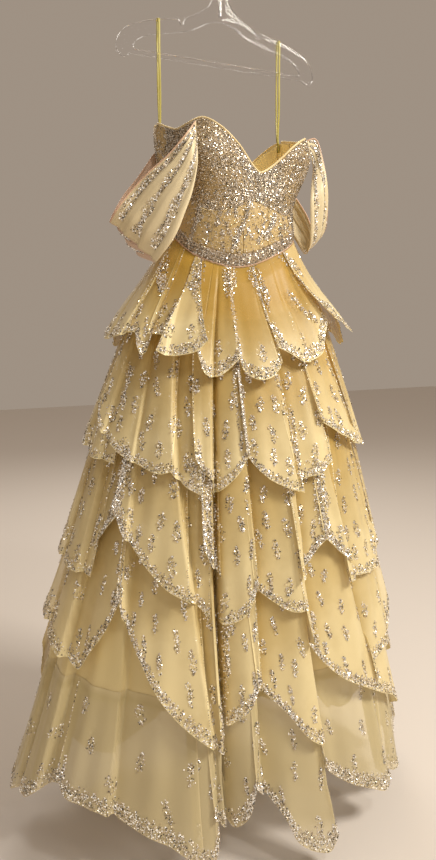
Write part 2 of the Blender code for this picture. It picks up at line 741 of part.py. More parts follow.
def make_zip():
    """The closed zip in the gap between the backs, its slider at the top, and the pull tab."""
    rows = []
    top, foot = neckline(180) - 0.004, waist(180)
    for part in range(7):
        height = top + (foot - top) * part / 6
        y = bodice(180, height, 0.0)[1]
        rows.append([(TAPE_HALF, y, height), (-TAPE_HALF, y, height)])
    cloth("zip_tape", rows, "satin", BODICE_WALL)
    face = max(bodice(180, ZIP_TOP, 0.0)[1], bodice(180, ZIP_TOP - 0.012, 0.0)[1])
    face += 0.0003
    slider_low, slider_high = ZIP_TOP - 0.010, ZIP_TOP
    box(
        "zip_slider", "chrome",
        (-0.0028, face, slider_low), (0.0028, face + 0.0022, slider_high), 0.0005,
    )
    # The pull tab: a flat drop hung on two short pins that stand out of the slider's top
    y = face + 0.0022 + 0.0004
    curve = bpy.data.curves.new("zip_pull", "CURVE")
    curve.dimensions = "2D"
    curve.fill_mode = "BOTH"
    curve.extrude = PULL_WALL / 2
    curve.bevel_depth = 0.0
    outline = []
    for degrees in range(0, 360, 20):
        t = radians(degrees)
        width = PULL_WIDTH / 2 * (0.62 + 0.38 * exp(-((sin(t) + 0.75) ** 2) * 2))
        outline.append((width * cos(t), PULL_LENGTH / 2 * sin(t)))
    line = curve.splines.new("POLY")
    line.use_cyclic_u = True
    line.points.add(len(outline) - 1)
    for point, (x, z) in zip(line.points, outline):
        point.co = (x, z, 0.0, 1.0)
    pivot = bpy.data.objects.new("zip_pull_pivot", None)
    dress.objects.link(pivot)
    pivot.location = (0.0, y + PULL_WALL / 2, ZIP_TOP - 0.0016)
    pull = place("zip_pull", curve, "chrome")
    pull.parent = pivot
    pull.location = (0.0, 0.0, -PULL_LENGTH / 2 + PULL_WALL / 2)
    pull.rotation_euler = (pi / 2, 0.0, 0.0)


clear_scene()
dress = bpy.data.collections.new("evening_dress_on_hanger")
bpy.context.scene.collection.children.link(dress)
make_hanger()
make_hook()
make_loop("hanger_loop_left", -1)
make_loop("hanger_loop_right", 1)
make_bodice()
make_waistband()
make_sleeve("left", -1, SLEEVE_LEFT)
make_sleeve("right", 1, SLEEVE_RIGHT)
make_zip()
make_lining()
for one in TIERS:
    make_tier(one)
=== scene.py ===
import math
from collections import namedtuple

import bpy
import numpy as np
from mathutils import Matrix, Vector


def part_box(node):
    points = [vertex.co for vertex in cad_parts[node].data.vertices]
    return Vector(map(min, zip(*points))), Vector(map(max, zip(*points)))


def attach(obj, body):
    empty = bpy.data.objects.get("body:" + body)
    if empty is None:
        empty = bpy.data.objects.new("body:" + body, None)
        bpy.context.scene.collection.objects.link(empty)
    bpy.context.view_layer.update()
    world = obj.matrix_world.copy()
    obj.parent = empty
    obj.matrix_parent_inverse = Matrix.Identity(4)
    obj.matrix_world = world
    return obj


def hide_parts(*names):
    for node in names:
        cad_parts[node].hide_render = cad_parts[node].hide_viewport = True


print("frame: the packed dress and hanger")
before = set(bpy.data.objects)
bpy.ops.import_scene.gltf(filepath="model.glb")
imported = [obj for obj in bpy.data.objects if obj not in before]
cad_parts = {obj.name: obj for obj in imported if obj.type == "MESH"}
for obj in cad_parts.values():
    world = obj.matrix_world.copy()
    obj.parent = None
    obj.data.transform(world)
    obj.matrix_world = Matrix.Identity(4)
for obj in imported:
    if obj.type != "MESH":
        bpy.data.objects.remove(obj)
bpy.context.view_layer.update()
dressBody = "dress_and_hanger"
pullBody = "zip_pull"
rng = np.random.default_rng(27)

# ---- camera and light ----
view = {
    "place": (-0.669, -1.360, -0.695),
    "turn": 25.865,
    "pitch": 8.5,
    "roll": -0.286,
    "lens": 30.14,
}
lightTable = {
    # name: place, aimed at, size, power, colour
    "keyLight": ((1.6, -2.05, 1.35), (0.0, -0.1, -0.9), 0.8, 100, (1.0, 0.94, 0.85)),
    "fillLight": ((-2.2, -2.0, -0.4), (0.0, -0.1, -0.9), 1.6, 2, (1.0, 0.94, 0.88)),
    "sparkLight": ((0.3, -2.3, 1.5), (0.0, -0.1, -0.5), 0.3, 18, (1.0, 0.97, 0.93)),
    "backLight": ((0.6, 2.4, 0.9), (0.0, 0.0, -0.8), 1.6, 26, (1.0, 0.95, 0.88)),
}


def deselect():
    for other in bpy.context.selected_objects:
        other.select_set(False)


def selectOnly(made):
    deselect()
    made.select_set(True)
    bpy.context.view_layer.objects.active = made


def seat(made, nodes=(), body=dressBody):
    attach(made, body)
    if nodes:
        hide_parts(*nodes)
    return made


def addCamera():
    turn, pitch, roll = (math.radians(view[k]) for k in ("turn", "pitch", "roll"))
    ahead = Vector((
        math.sin(turn) * math.cos(pitch), math.cos(turn) * math.cos(pitch), -math.sin(pitch)
    ))
    right = ahead.cross(Vector((0, 0, 1))).normalized()
    up = right.cross(ahead)
    rolledRight = right * math.cos(roll) + up * math.sin(roll)
    rolledUp = up * math.cos(roll) - right * math.sin(roll)
    lens = bpy.data.cameras.new("photoCamera")
    lens.sensor_fit = "VERTICAL"
    lens.sensor_height = 36
    lens.lens = view["lens"]
    camera = bpy.data.objects.new("photoCamera", lens)
    place = Matrix((rolledRight, rolledUp, -ahead)).transposed().to_4x4()
    place.translation = Vector(view["place"])
    camera.matrix_world = place
    bpy.context.scene.collection.objects.link(camera)
    bpy.context.scene.camera = camera


def addLights():
    for name, (place, target, size, power, colour) in lightTable.items():
        lamp = bpy.data.lights.new(name, "AREA")
        lamp.size = size
        lamp.energy = power
        lamp.color = colour
        holder = bpy.data.objects.new(name, lamp)
        holder.location = place
        aim = Vector(target) - Vector(place)
        holder.rotation_euler = aim.to_track_quat("-Z", "Y").to_euler()
        holder.visible_transmission = False
        bpy.context.scene.collection.objects.link(holder)
    world = bpy.data.worlds.new("studio")
    world.use_nodes = True
    sky = world.node_tree.nodes["Background"].inputs
    sky["Color"].default_value = (0.56, 0.46, 0.37, 1)
    sky["Strength"].default_value = 0.62
    bpy.context.scene.world = world
    bpy.context.scene.view_settings.view_transform = "Standard"
    bpy.context.scene.cycles.transparent_max_bounces = 32


addCamera()
addLights()

# ---- materials ----


def nodeTree(name):
    made = bpy.data.materials.new(name)
    made.use_nodes = True
    tree = made.node_tree
    return made, tree, tree.nodes["Principled BSDF"]


def fill(tree, node, inputs):
    for key, value in inputs.items():
        if isinstance(value, bpy.types.NodeSocket):
            tree.links.new(value, node.inputs[key])
        else:
            node.inputs[key].default_value = value


def addNode(tree, kind, inputs=None, **settings):
    node = tree.nodes.new(kind)
    for key, value in settings.items():
        setattr(node, key, value)
    fill(tree, node, inputs or {})
    return node


def maths(tree, operation, *values, clamp=False):
    return addNode(tree, "ShaderNodeMath", dict(enumerate(values)), operation=operation,
                   use_clamp=clamp).outputs[0]


def remap(tree, value, low, high, start=0.0, end=1.0):
    return addNode(tree, "ShaderNodeMapRange", {"Value": value, "From Min": start,
                   "From Max": end, "To Min": low, "To Max": high}).outputs[0]


def attribute(tree, name):
    return addNode(tree, "ShaderNodeAttribute", attribute_name=name).outputs["Fac"]


def objectNoise(tree, scale, detail, roughness=0.5):
    place = addNode(tree, "ShaderNodeTexCoord")
    return addNode(tree, "ShaderNodeTexNoise", {"Vector": place.outputs["Object"],
                   "Scale": scale, "Detail": detail, "Roughness": roughness}).outputs["Fac"]


def bumpOf(tree, height, strength, distance):
    return addNode(tree, "ShaderNodeBump", {"Strength": strength, "Distance": distance,
                   "Height": height}).outputs["Normal"]


def mixColour(tree, factor, first, second):
    node = tree.nodes.new("ShaderNodeMix")
    node.data_type = "RGBA"
    for index, value in ((0, factor), (6, first), (7, second)):
        if isinstance(value, bpy.types.NodeSocket):
            tree.links.new(value, node.inputs[index])
        elif index == 0:
            node.inputs[index].default_value = value
        else:
            node.inputs[index].default_value = (*value, 1)
    return node.outputs[2]


# two crossing sets of threads on the cloth's own map, in metres
def makeWeaveGroup():
    group = bpy.data.node_groups.new("clothWeave", "ShaderNodeTree")
    face = group.interface
    face.new_socket("Pitch", in_out="INPUT", socket_type="NodeSocketFloat")
    face.new_socket("Slub", in_out="INPUT", socket_type="NodeSocketFloat")
    face.new_socket("Threads", in_out="OUTPUT", socket_type="NodeSocketFloat")
    face.new_socket("Clouds", in_out="OUTPUT", socket_type="NodeSocketFloat")
    start = group.nodes.new("NodeGroupInput")
    end = group.nodes.new("NodeGroupOutput")
    place = addNode(group, "ShaderNodeTexCoord")
    split = addNode(group, "ShaderNodeSeparateXYZ", {0: place.outputs["UV"]})
    count = maths(group, "DIVIDE", 6.2832, start.outputs["Pitch"])
    waves = [maths(group, "SINE", maths(group, "MULTIPLY", split.outputs[axis], count))
             for axis in (0, 1)]
    half = maths(group, "MULTIPLY_ADD", maths(group, "ADD", *waves), 0.25, 0.5)
    clouds = objectNoise(group, start.outputs["Slub"], 3.0, 0.55)
    group.links.new(half, end.inputs["Threads"])
    group.links.new(clouds, end.inputs["Clouds"])
    return group


weaveGroup = makeWeaveGroup()

innerSatin = (0.98, 0.79, 0.36)  # the bodice's inner side, marked with the attribute inner
clothTable = {
    # colour where the cloth lies close and in its painted-shade valleys, colour where it stands off
    # and on its painted-light ridges, opacity of each, roughness, sheen, weave pitch in metres,
    # bump
    "organza": ((0.62, 0.40, 0.07), (0.92, 0.78, 0.44), 0.38, 0.86, 0.42, 0.25, 0.0011, 0.10),
    "organzaLow": ((0.72, 0.60, 0.31), (0.68, 0.57, 0.32), 0.80, 0.72, 0.42, 0.25, 0.0011, 0.10),
    "sleevePink": ((0.74, 0.52, 0.37), (0.80, 0.60, 0.46), 0.90, 0.96, 0.40, 0.3, 0.0011, 0.10),
    "sleeveCloth": ((0.84, 0.70, 0.42), (0.88, 0.76, 0.50), 0.84, 0.92, 0.40, 0.3, 0.0011, 0.10),
    "lining": ((0.54, 0.32, 0.05), (0.84, 0.70, 0.36), 1.0, 1.0, 0.36, 0.1, 0.0006, 0.05),
    "insideSatin": ((0.98, 0.78, 0.34), (1.0, 0.84, 0.44), 1.0, 1.0, 0.28, 0.1, 0.0006, 0.05),
    "bodiceNet": ((0.58, 0.41, 0.16), (0.66, 0.50, 0.25), 1.0, 1.0, 0.45, 0.2, 0.0014, 0.20),
    "cupNet": ((0.40, 0.29, 0.15), (0.56, 0.40, 0.17), 1.0, 1.0, 0.45, 0.2, 0.0014, 0.25),
    "bandNet": ((0.40, 0.29, 0.17), (0.50, 0.37, 0.24), 1.0, 1.0, 0.45, 0.2, 0.0014, 0.25),
    "pinkBinding": ((0.70, 0.44, 0.30), (0.78, 0.54, 0.38), 1.0, 1.0, 0.35, 0.2, 0.0007, 0.10),
    "goldBinding": ((0.84, 0.66, 0.34), (0.90, 0.74, 0.42), 1.0, 1.0, 0.35, 0.2, 0.0007, 0.10),
    "ribbon": ((0.42, 0.36, 0.08), (0.52, 0.46, 0.12), 1.0, 1.0, 0.30, 0.2, 0.0005, 0.10),
}


def makeCloth(name):
    near, away, nearAlpha, awayAlpha, roughness, sheen, pitch, depth = clothTable[name]
    made, tree, shader = nodeTree(name)
    weave = addNode(tree, "ShaderNodeGroup", node_tree=weaveGroup)
    fill(tree, weave, {"Pitch": pitch, "Slub": 14.0})
    shade = maths(tree, "MULTIPLY_ADD", weave.outputs["Clouds"], 0.5, -0.25)
    # lift picks between the near and the away colour and opacity; on the skirt and lining it also
    # carries painted shade in the folds
    share = maths(tree, "ADD", attribute(tree, "lift"), shade, clamp=True)
    rim = attribute(tree, "rim")
    edge = tuple(min(1.0, c * 1.10 + 0.02) for c in away)
    rimmed = mixColour(tree, rim, mixColour(tree, share, near, away), edge)
    thread = remap(tree, weave.outputs["Threads"], 0.0, 0.16)
    threaded = mixColour(tree, thread, rimmed, tuple(c * 0.55 for c in near))
    fill(tree, shader, {
        "Base Color": mixColour(tree, attribute(tree, "inner"), threaded, innerSatin),
        "Roughness": roughness, "Sheen Weight": sheen, "Sheen Roughness": 0.4,
        "Specular IOR Level": 0.35,
        "Normal": bumpOf(tree, weave.outputs["Threads"], depth, 0.0003),
    })
    if awayAlpha < 1:
        openShare = remap(tree, share, nearAlpha, awayAlpha)
        fill(tree, shader, {"Alpha": maths(tree, "MULTIPLY_ADD", rim, 0.12, openShare,
                                           clamp=True)})
    return made


cloths = {name: makeCloth(name) for name in clothTable}


def makeSequin():
    made, tree, shader = nodeTree("sequins")
    tone = attribute(tree, "tone")
    ramp = addNode(tree, "ShaderNodeValToRGB", {"Fac": tone})
    # sequin colours by tone: near-black ones are painted dark reflections, the middle their own
    # champagne and silver, the near-white top partly their own silver and partly painted highlight
    stops = (
        (0.0, (0.05, 0.055, 0.05)), (0.14, (0.13, 0.12, 0.10)), (0.20, (0.40, 0.33, 0.23)),
        (0.42, (0.72, 0.59, 0.42)), (0.60, (0.90, 0.81, 0.67)), (0.78, (0.96, 0.94, 0.90)),
        (1.0, (1.0, 0.99, 0.95)),
    )
    for index, (place, colour) in enumerate(stops):
        stop = ramp.color_ramp.elements[index] if index < 2 else ramp.color_ramp.elements.new(1)
        stop.position = place
        stop.color = (*colour, 1)
    paintedGlint = remap(tree, tone, 0.0, 1.0, 0.72, 1.0)  # the brightest glow with a painted glint
    fill(tree, shader, {
        "Base Color": ramp.outputs["Color"], "Roughness": remap(tree, tone, 0.34, 0.16),
        # painted glints: the brightest sequins glow by emission, though they are no lamps
        "Metallic": 0.55, "Emission Strength": 1.0,
        "Emission Color": mixColour(tree, paintedGlint, (0, 0, 0), (0.48, 0.45, 0.40)),
    })
    return made


def makeClear():
    made, tree, shader = nodeTree("clearPlastic")
    facing = addNode(tree, "ShaderNodeLayerWeight", {"Blend": 0.3}).outputs["Facing"]
    fill(tree, shader, {
        "Base Color": (0.95, 0.95, 0.97, 1), "Roughness": 0.03, "IOR": 1.30,
        "Transmission Weight": 1.0, "Alpha": remap(tree, facing, 0.4, 0.9, 0.2, 0.9),
        "Normal": bumpOf(tree, objectNoise(tree, 22.0, 1.0), 0.04, 0.001),
    })
    return made


def makeMetal(name, colour, roughness):
    made, tree, shader = nodeTree(name)
    wear = objectNoise(tree, 160.0, 4.0)
    fill(tree, shader, {
        "Base Color": mixColour(tree, wear, colour, tuple(c * 0.78 for c in colour)),
        "Roughness": remap(tree, wear, roughness * 0.7, roughness * 1.5), "Metallic": 1.0,
    })
    return made


sequinFinish = makeSequin()
clearFinish = makeClear()
hookMetal = makeMetal("hookMetal", (0.62, 0.61, 0.60), 0.25)
zipMetal = makeMetal("zipMetal", (0.80, 0.70, 0.50), 0.25)

# ---- the dress's form, with the sizes the solids have ----
bodiceRings = np.array([
    # height, left, right, centre, front, back
    (-0.62, 0.127, 0.129, -0.042, 0.106, 0.098),
    (-0.54, 0.127, 0.129, -0.042, 0.106, 0.098),
    (-0.50, 0.127, 0.129, -0.041, 0.106, 0.098),
    (-0.43, 0.134, 0.136, -0.022, 0.118, 0.104),
    (-0.37, 0.138, 0.138, -0.010, 0.126, 0.110),
    (-0.30, 0.138, 0.138, -0.002, 0.126, 0.112),
])
skirtRings = np.array([
    # share of the way to the hem, then as above
    (0.00, 0.127, 0.129, -0.042, 0.106, 0.098),
    (0.06, 0.162, 0.150, -0.046, 0.130, 0.112),
    (0.14, 0.210, 0.182, -0.052, 0.165, 0.126),
    (0.36, 0.291, 0.232, -0.070, 0.207, 0.140),
    (0.59, 0.358, 0.274, -0.080, 0.227, 0.150),
    (0.82, 0.430, 0.305, -0.088, 0.246, 0.156),
    (1.00, 0.480, 0.320, -0.095, 0.260, 0.160),
])
waistLine = np.array([
    (-104, -0.524), (-88, -0.530), (-50, -0.576), (-14, -0.594), (27, -0.564), (62, -0.534),
    (90, -0.522), (180, -0.515), (256, -0.524),
])
neckLine = np.array([
    (-104, -0.322), (-90, -0.320), (-74, -0.334), (-60, -0.344), (-50, -0.340), (-38, -0.331),
    (-27, -0.346), (-19, -0.363), (-12, -0.379), (-7, -0.393), (-2, -0.408), (5, -0.421),
    (12, -0.416), (21, -0.402), (28, -0.385), (34, -0.368), (41, -0.354), (50, -0.344),
    (58, -0.340), (68, -0.339), (76, -0.334), (90, -0.327), (107, -0.331), (120, -0.344),
    (132, -0.360), (146, -0.358), (162, -0.344), (180, -0.334), (198, -0.344), (214, -0.356),
    (228, -0.355), (240, -0.340), (256, -0.322),
])
cupFoot = np.array([
    (2, -0.474), (18, -0.486), (34, -0.492), (50, -0.482), (66, -0.440), (76, -0.385),
])
form = {
    # the cups' sizes are for the left and the right one
    "hem": -1.65, "bandHeight": 0.024, "cupRise": (0.034, 0.039), "cupAngle": (38, 50),
    "cupHeight": (-0.385, -0.374), "cupHalfAngle": 36, "cupHalfHeight": 0.11, "cupOuter": 76,
    "bodiceWall": 0.0016, "growth": 0.85, "ripple": 0.0014, "edgeWidth": 1.1,
    "deepValley": 0.03, "valleyFloor": 0.15,
}
foldShares = np.array([0.0, 0.25, 0.5, 0.75, 1.0])
pleatTable = [
    # the crisp edge of each round pleat: its angle at each share, how far it stands out,
    # how deep the valley past it lies, and how soon the next pleat rounds up out of it
    ((-96, -94, -92, -90, -89), 0.012, 0.010, 1.2),
    ((-80, -78, -76, -74, -73), 0.016, 0.012, 1.2),
    ((-68, -62, -56, -51, -48), 0.012, 0.010, 1.0),
    ((-58, -47, -35, -25.5, -22.5), 0.028, 0.014, 0.8),
    ((-34, -31.3, -28, -23.2, -20.6), 0.022, 0.036, 0.22),
    ((-24, -18.8, -15.3, -14, -12.5), 0.028, 0.024, 0.7),
    ((-6, -1.5, -1.0, 2, 6), 0.030, 0.020, 0.9),
    ((12, 16, 20, 30, 37), 0.024, 0.014, 1.2),
    ((33, 38, 43, 49, 54), 0.014, 0.012, 1.2),
    ((62, 64, 66, 68, 70), 0.014, 0.010, 1.2),
]
pleatTable += [  # plain pleats round the side and back
    ((angle,) * 5, (0.014, 0.012)[n % 2], (0.012, 0.010)[n % 2], 1.2)
    for n, angle in enumerate(range(83, 246, 18))
]


def eased(table, at):
    keys, values = table[:, 0], table[:, 1:]
    at = np.clip(np.asarray(at, float), keys[0], keys[-1])
    slopes = np.empty_like(values)
    slopes[1:-1] = (values[2:] - values[:-2]) / (keys[2:] - keys[:-2])[:, None]
    slopes[0] = (values[1] - values[0]) / (keys[1] - keys[0])
    slopes[-1] = (values[-1] - values[-2]) / (keys[-1] - keys[-2])
    low = np.clip(np.searchsorted(keys, at, side="right") - 1, 0, len(keys) - 2)
    span = keys[low + 1] - keys[low]
    u = ((at - keys[low]) / span)[..., None]
    span = span[..., None]
    return (
        (2 * u**3 - 3 * u**2 + 1) * values[low] + (u**3 - 2 * u**2 + u) * slopes[low] * span
        + (3 * u**2 - 2 * u**3) * values[low + 1] + (u**3 - u**2) * slopes[low + 1] * span
    )


def wrapped(angle):
    return (np.asarray(angle, float) + 104) % 360 - 104


def waistAt(angle):
    return eased(waistLine, wrapped(angle))[..., 0]


def neckAt(angle):
    return eased(neckLine, wrapped(angle))[..., 0]


def cupFootAt(angle):
    return eased(cupFoot, np.abs(angle))[..., 0]


def softBump(x):
    return np.where(np.abs(x) < 1, np.cos(np.pi / 2 * np.clip(x, -1, 1)) ** 2, 0)


def roundPoint(sizes, angle, height, out):
    turn = np.radians(angle)
    across = np.where(np.sin(turn) < 0, sizes[..., 0], sizes[..., 1])
    along = np.where(np.cos(turn) > 0, sizes[..., 3], sizes[..., 4])
    nx, ny = np.sin(turn) / across, -np.cos(turn) / along
    size = np.hypot(nx, ny)
    return np.stack([
        across * np.sin(turn) + nx / size * out,
        sizes[..., 2] - along * np.cos(turn) + ny / size * out,
        height + 0 * turn,
    ], -1)


def bodicePoint(angle, height, out):
    turned = (angle + 180) % 360 - 180
    bulge, middle, level = (
        np.where(turned > 0, form[k][1], form[k][0]) for k in ("cupRise", "cupAngle", "cupHeight")
    )
    rise = bulge * softBump((np.abs(turned) - middle) / form["cupHalfAngle"])
    rise = rise * softBump((height - level) / form["cupHalfHeight"])
    return roundPoint(eased(bodiceRings, height), angle, height, out + rise)


def skirtHeight(angle, share):
    return waistAt(angle) + share * (form["hem"] - waistAt(angle))


def skirtShare(angle, height):
    return (waistAt(angle) - height) / (waistAt(angle) - form["hem"])


# how far the cloth stands in or out: round pleats, each with one crisp edge
def skirtFold(angle, share):
    edges = np.stack([np.interp(share, foldShares, row[0]) for row in pleatTable])
    stands = np.array([row[1] for row in pleatTable])
    depths = np.array([row[2] for row in pleatTable])
    past = (angle - edges) % 360
    which = past.argmin(0)
    gap = np.take_along_axis(past, which[None], 0)[0]
    following = (which + 1) % len(pleatTable)
    here = np.take_along_axis(edges, which[None], 0)[0]
    pitch = (np.take_along_axis(edges, following[None], 0)[0] - here) % 360
    rounding = np.array([row[3] for row in pleatTable])
    floors = np.where(depths > form["deepValley"], form["valleyFloor"], 0)[which]
    risen = np.clip((gap / pitch - floors) / (1 - floors), 0, 1)
    rise = np.sin(np.pi / 2 * risen) ** rounding[which]
    profile = -depths[which] + (stands[following] + depths[which]) * rise
    fall = np.clip(gap / form["edgeWidth"], 0, 1)
    fall = fall * fall * (3 - 2 * fall)
    total = stands[which] + (profile - stands[which]) * fall
    total *= np.clip(share, 0, None) ** form["growth"]
    turn = np.radians(angle)
    small = np.sin(31 * turn + 5 * share) + 0.7 * np.sin(47 * turn + 1.3 - 7 * share)
    small += 0.6 * np.sin(19 * turn + 0.4 + 3 * share)
    return total + form["ripple"] * np.sqrt(np.clip(share, 0, 1)) * small


def skirtPoint(angle, height, out):
    share = skirtShare(angle, height)
    fold = skirtFold(angle, share)
    return roundPoint(eased(skirtRings, share), angle, height, out + fold)


# ---- building cloth ----


def buildMesh(name, points, faces, material, smooth=True):
    data = bpy.data.meshes.new(name)
    points = np.ascontiguousarray(points, np.float32).reshape(-1, 3)
    faces = np.ascontiguousarray(faces, np.int32)
    data.vertices.add(len(points))
    data.vertices.foreach_set("co", points.ravel())
    data.loops.add(faces.size)
    data.loops.foreach_set("vertex_index", faces.ravel())
    data.polygons.add(len(faces))
    starts = np.arange(0, faces.size, faces.shape[1], dtype=np.int32)
    data.polygons.foreach_set("loop_start", starts)
    data.polygons.foreach_set("use_smooth", np.full(len(faces), smooth))
    data.update(calc_edges=True)
    data.validate()
    data.materials.append(material)
    made = bpy.data.objects.new(name, data)
    bpy.context.scene.collection.objects.link(made)
    return made


def mark(made, name, values):
    layer = made.data.attributes.new(name, "FLOAT", "POINT")
    layer.data.foreach_set("value", np.ascontiguousarray(values, np.float32).ravel())


def gridFaces(rows, columns):
    index = np.arange(rows * columns).reshape(rows, columns)
    corners = [index[:-1, :-1], index[1:, :-1], index[1:, 1:], index[:-1, 1:]]
    return np.stack(corners, -1).reshape(-1, 4)


def arc(grid, axis):
    steps = np.linalg.norm(np.diff(grid, axis=axis), axis=-1)
    start = np.zeros_like(np.take(steps, [0], axis=axis))
    return np.concatenate([start, np.cumsum(steps, axis=axis)], axis=axis)


# cloth over a grid of points: rows from the top, left to right as seen from outside
def clothPiece(name, grid, finish, nodes, wall=0.0, lift=None, rim=None,
               sheet=True):
    rows, columns = grid.shape[:2]
    made = buildMesh(name, grid, gridFaces(rows, columns), finish)
    across, down = arc(grid, 1), arc(grid, 0)
    mark(made, "lift", np.full((rows, columns), 0.5) if lift is None else lift)
    mark(made, "rim", np.zeros((rows, columns)) if rim is None else rim)
    layer = made.data.uv_layers.new(name="clothMap")
    middle = across - across[:, columns // 2: columns // 2 + 1]
    flat = np.stack([middle, -down], -1).reshape(-1, 2)
    loops = np.empty(len(made.data.loops), np.int32)
    made.data.loops.foreach_get("vertex_index", loops)
    layer.data.foreach_set("uv", flat[loops].astype(np.float32).ravel())
    if wall:
        thick = made.modifiers.new("wall", "SOLIDIFY")
        thick.thickness = wall
        thick.offset = -1
        applyModifiers(made)
        if name.startswith(("bodice", "cup")):
            place = np.empty(len(made.data.vertices) * 3, np.float32)
            made.data.vertices.foreach_get("co", place)
            outer = np.resize(grid.reshape(-1, 3), (len(place) // 3, 3))
            moved = np.linalg.norm(place.reshape(-1, 3) - outer, axis=1) > wall / 2
            mark(made, "inner", moved)
    seat(made, nodes)
    if sheet:
        one, two = grid[:-1, :-1], grid[1:, 1:]
        cross = np.cross(two - one, grid[1:, :-1] - grid[:-1, 1:])
        area = float(np.linalg.norm(cross, axis=-1).sum() / 2)
        width, length = float(across[:, -1].max()), float(down[-1].max())
        width = max(width, area / length)
        length = min(length, area / (0.32 * width))
    return made


def applyModifiers(made):
    selectOnly(made)
    for modifier in list(made.modifiers):
        bpy.ops.object.modifier_apply(modifier=modifier.name)


# straight runs between points, as one line of a curve
def polyLine(curve, points, closed=False):
    line = curve.splines.new("POLY")
    line.use_cyclic_u = closed
    line.points.add(len(points) - 1)
    for spot, (x, y, z) in zip(line.points, points):
        spot.co = (x, y, z, 1)


# a curve turned into a welded mesh of one finish
def meshOf(curve, finish, sharpest, turn=0.0):
    made = bpy.data.objects.new(curve.name, curve)
    made.rotation_euler = (turn, 0, 0)
    bpy.context.scene.collection.objects.link(made)
    selectOnly(made)
    bpy.ops.object.convert(target="MESH")
    made = bpy.context.view_layer.objects.active
    bpy.ops.object.transform_apply(location=True, rotation=True, scale=True)
    weldAndSmooth(made, sharpest)
    made.data.materials.clear()
    made.data.materials.append(finish)
    return made


# a rolled edge or wire through points, its ends closed
def tube(name, points, radius, finish, nodes, sides=10):
    curve = bpy.data.curves.new(name, "CURVE")
    curve.dimensions = "3D"
    curve.bevel_depth = radius
    curve.bevel_resolution = max(1, (sides - 4) // 2)
    curve.use_fill_caps = True
    polyLine(curve, points)
    made = meshOf(curve, finish, 40)
    mark(made, "lift", np.full(len(made.data.vertices), 0.5))
    return seat(made, nodes)


def weldAndSmooth(made, sharpest):
    selectOnly(made)
    bpy.ops.object.mode_set(mode="EDIT")
    bpy.ops.mesh.select_all(action="SELECT")
    bpy.ops.mesh.remove_doubles(threshold=1e-5)
    bpy.ops.mesh.normals_make_consistent(inside=False)
    bpy.ops.object.mode_set(mode="OBJECT")
    bpy.ops.object.shade_smooth_by_angle(angle=math.radians(sharpest))


# points spread evenly on a smooth curve through a few
def smoothPath(points, count):
    points = np.asarray(points, float)
    run = np.concatenate([[0], np.cumsum(np.linalg.norm(np.diff(points, axis=0), axis=1))])
    table = np.column_stack([run, points])
    return eased(table, np.linspace(0, run[-1], count))


# ---- sequins ----


# one hexagonal sequin, one unit across its radius
def sequinShape():
    deselect()
    bpy.ops.mesh.primitive_circle_add(vertices=6, radius=1, fill_type="NGON")
    one = bpy.context.active_object
    corners = np.array([v.co[:] for v in one.data.vertices])
    faces = np.array([p.vertices[:] for p in one.data.polygons])
    bpy.data.objects.remove(one, do_unlink=True)
    return corners, faces


beadSizes = {"motif": 0.00116, "hem": 0.00116, "line": 0.00098, "cup": 0.00098, "band": 0.00105,
             "net": 0.00088}
beadStyle = {"tip": 0.36, "standOff": 0.0007, "smallest": 0.72, "largest": 1.2}
motifStyle = {"tall": 0.0160, "wide": 0.0094, "count": 76}
sequinCorners, sequinFaces = sequinShape()
beadCounts = {}


# every sequin of one piece as one mesh, each turned and tipped its own way
def sequinPiece(name, places, normals, sizes, brightest):
    count = len(places)
    normals = normals / np.linalg.norm(normals, axis=1, keepdims=True)
    tip = rng.normal(0, beadStyle["tip"], (count, 3))
    facing = normals + tip
    facing /= np.linalg.norm(facing, axis=1, keepdims=True)
    aside = np.cross(facing, rng.normal(size=(count, 3)))
    aside /= np.linalg.norm(aside, axis=1, keepdims=True)
    upward = np.cross(facing, aside)
    off = beadStyle["standOff"]
    base = places + normals * (off + off * rng.random((count, 1)))
    points = (
        base[:, None]
        + sizes[:, None, None] * (
            sequinCorners[None, :, 0:1] * aside[:, None]
            + sequinCorners[None, :, 1:2] * upward[:, None]
            + sequinCorners[None, :, 2:3] * facing[:, None]
        )
    )
    shift = np.arange(count)[:, None, None] * len(sequinCorners)
    faces = (sequinFaces[None] + shift).reshape(-1, sequinFaces.shape[1])
    made = buildMesh(name, points, faces, sequinFinish, smooth=False)
    # each sequin's tone picks its colour and, at the top of the range, its painted glint
    tone = rng.random(count) * brightest
    mark(made, "tone", np.repeat(tone, len(sequinCorners)))
    beadCounts[name] = count
    return seat(made)


# places and outward normals on a surface given as a function of u and v
def surfaceFrame(surface, u, v):
    step = 0.004
    u = np.clip(u, step, 1 - step)
    v = np.clip(v, step, 1 - step)
    here = surface(u, v)
    across = surface(u + step, v) - surface(u - step, v)
    down = surface(u, v + step) - surface(u, v - step)
    normal = np.cross(down, across)
    return here, normal


class BeadList:
    def __init__(self):
        self.places, self.normals, self.sizes = [], [], []

    def add(self, surface, u, v, size):
        u, v = np.asarray(u, float), np.asarray(v, float)
        keep = (u > 0.002) & (u < 0.998) & (v > 0) & (v < 1)
        if not keep.any():
            return
        here, normal = surfaceFrame(surface, u[keep], v[keep])
        self.places.append(here)
        self.normals.append(normal)
        smallest, largest = beadStyle["smallest"], beadStyle["largest"]
        self.sizes.append(size * rng.uniform(smallest, largest, keep.sum()))

    def piece(self, name, brightest=1.0):
        return sequinPiece(name, np.concatenate(self.places), np.concatenate(self.normals),
                           np.concatenate(self.sizes), brightest)


# a small leaf-shaped patch of sequins with a ragged edge
def motif(beads, surface, width, length, u0, v0, tall, wide, count, lean):
    b = rng.uniform(-1, 1, count)
    ragged = 0.85 + 0.30 * np.sin(b * 9 + rng.uniform(0, 6))
    a = rng.uniform(-1, 1, count) * np.sqrt(1 - b * b) * ragged * wide + lean * b * tall
    beads.add(surface, u0 + a / width, v0 + b * tall / length, beadSizes["motif"])


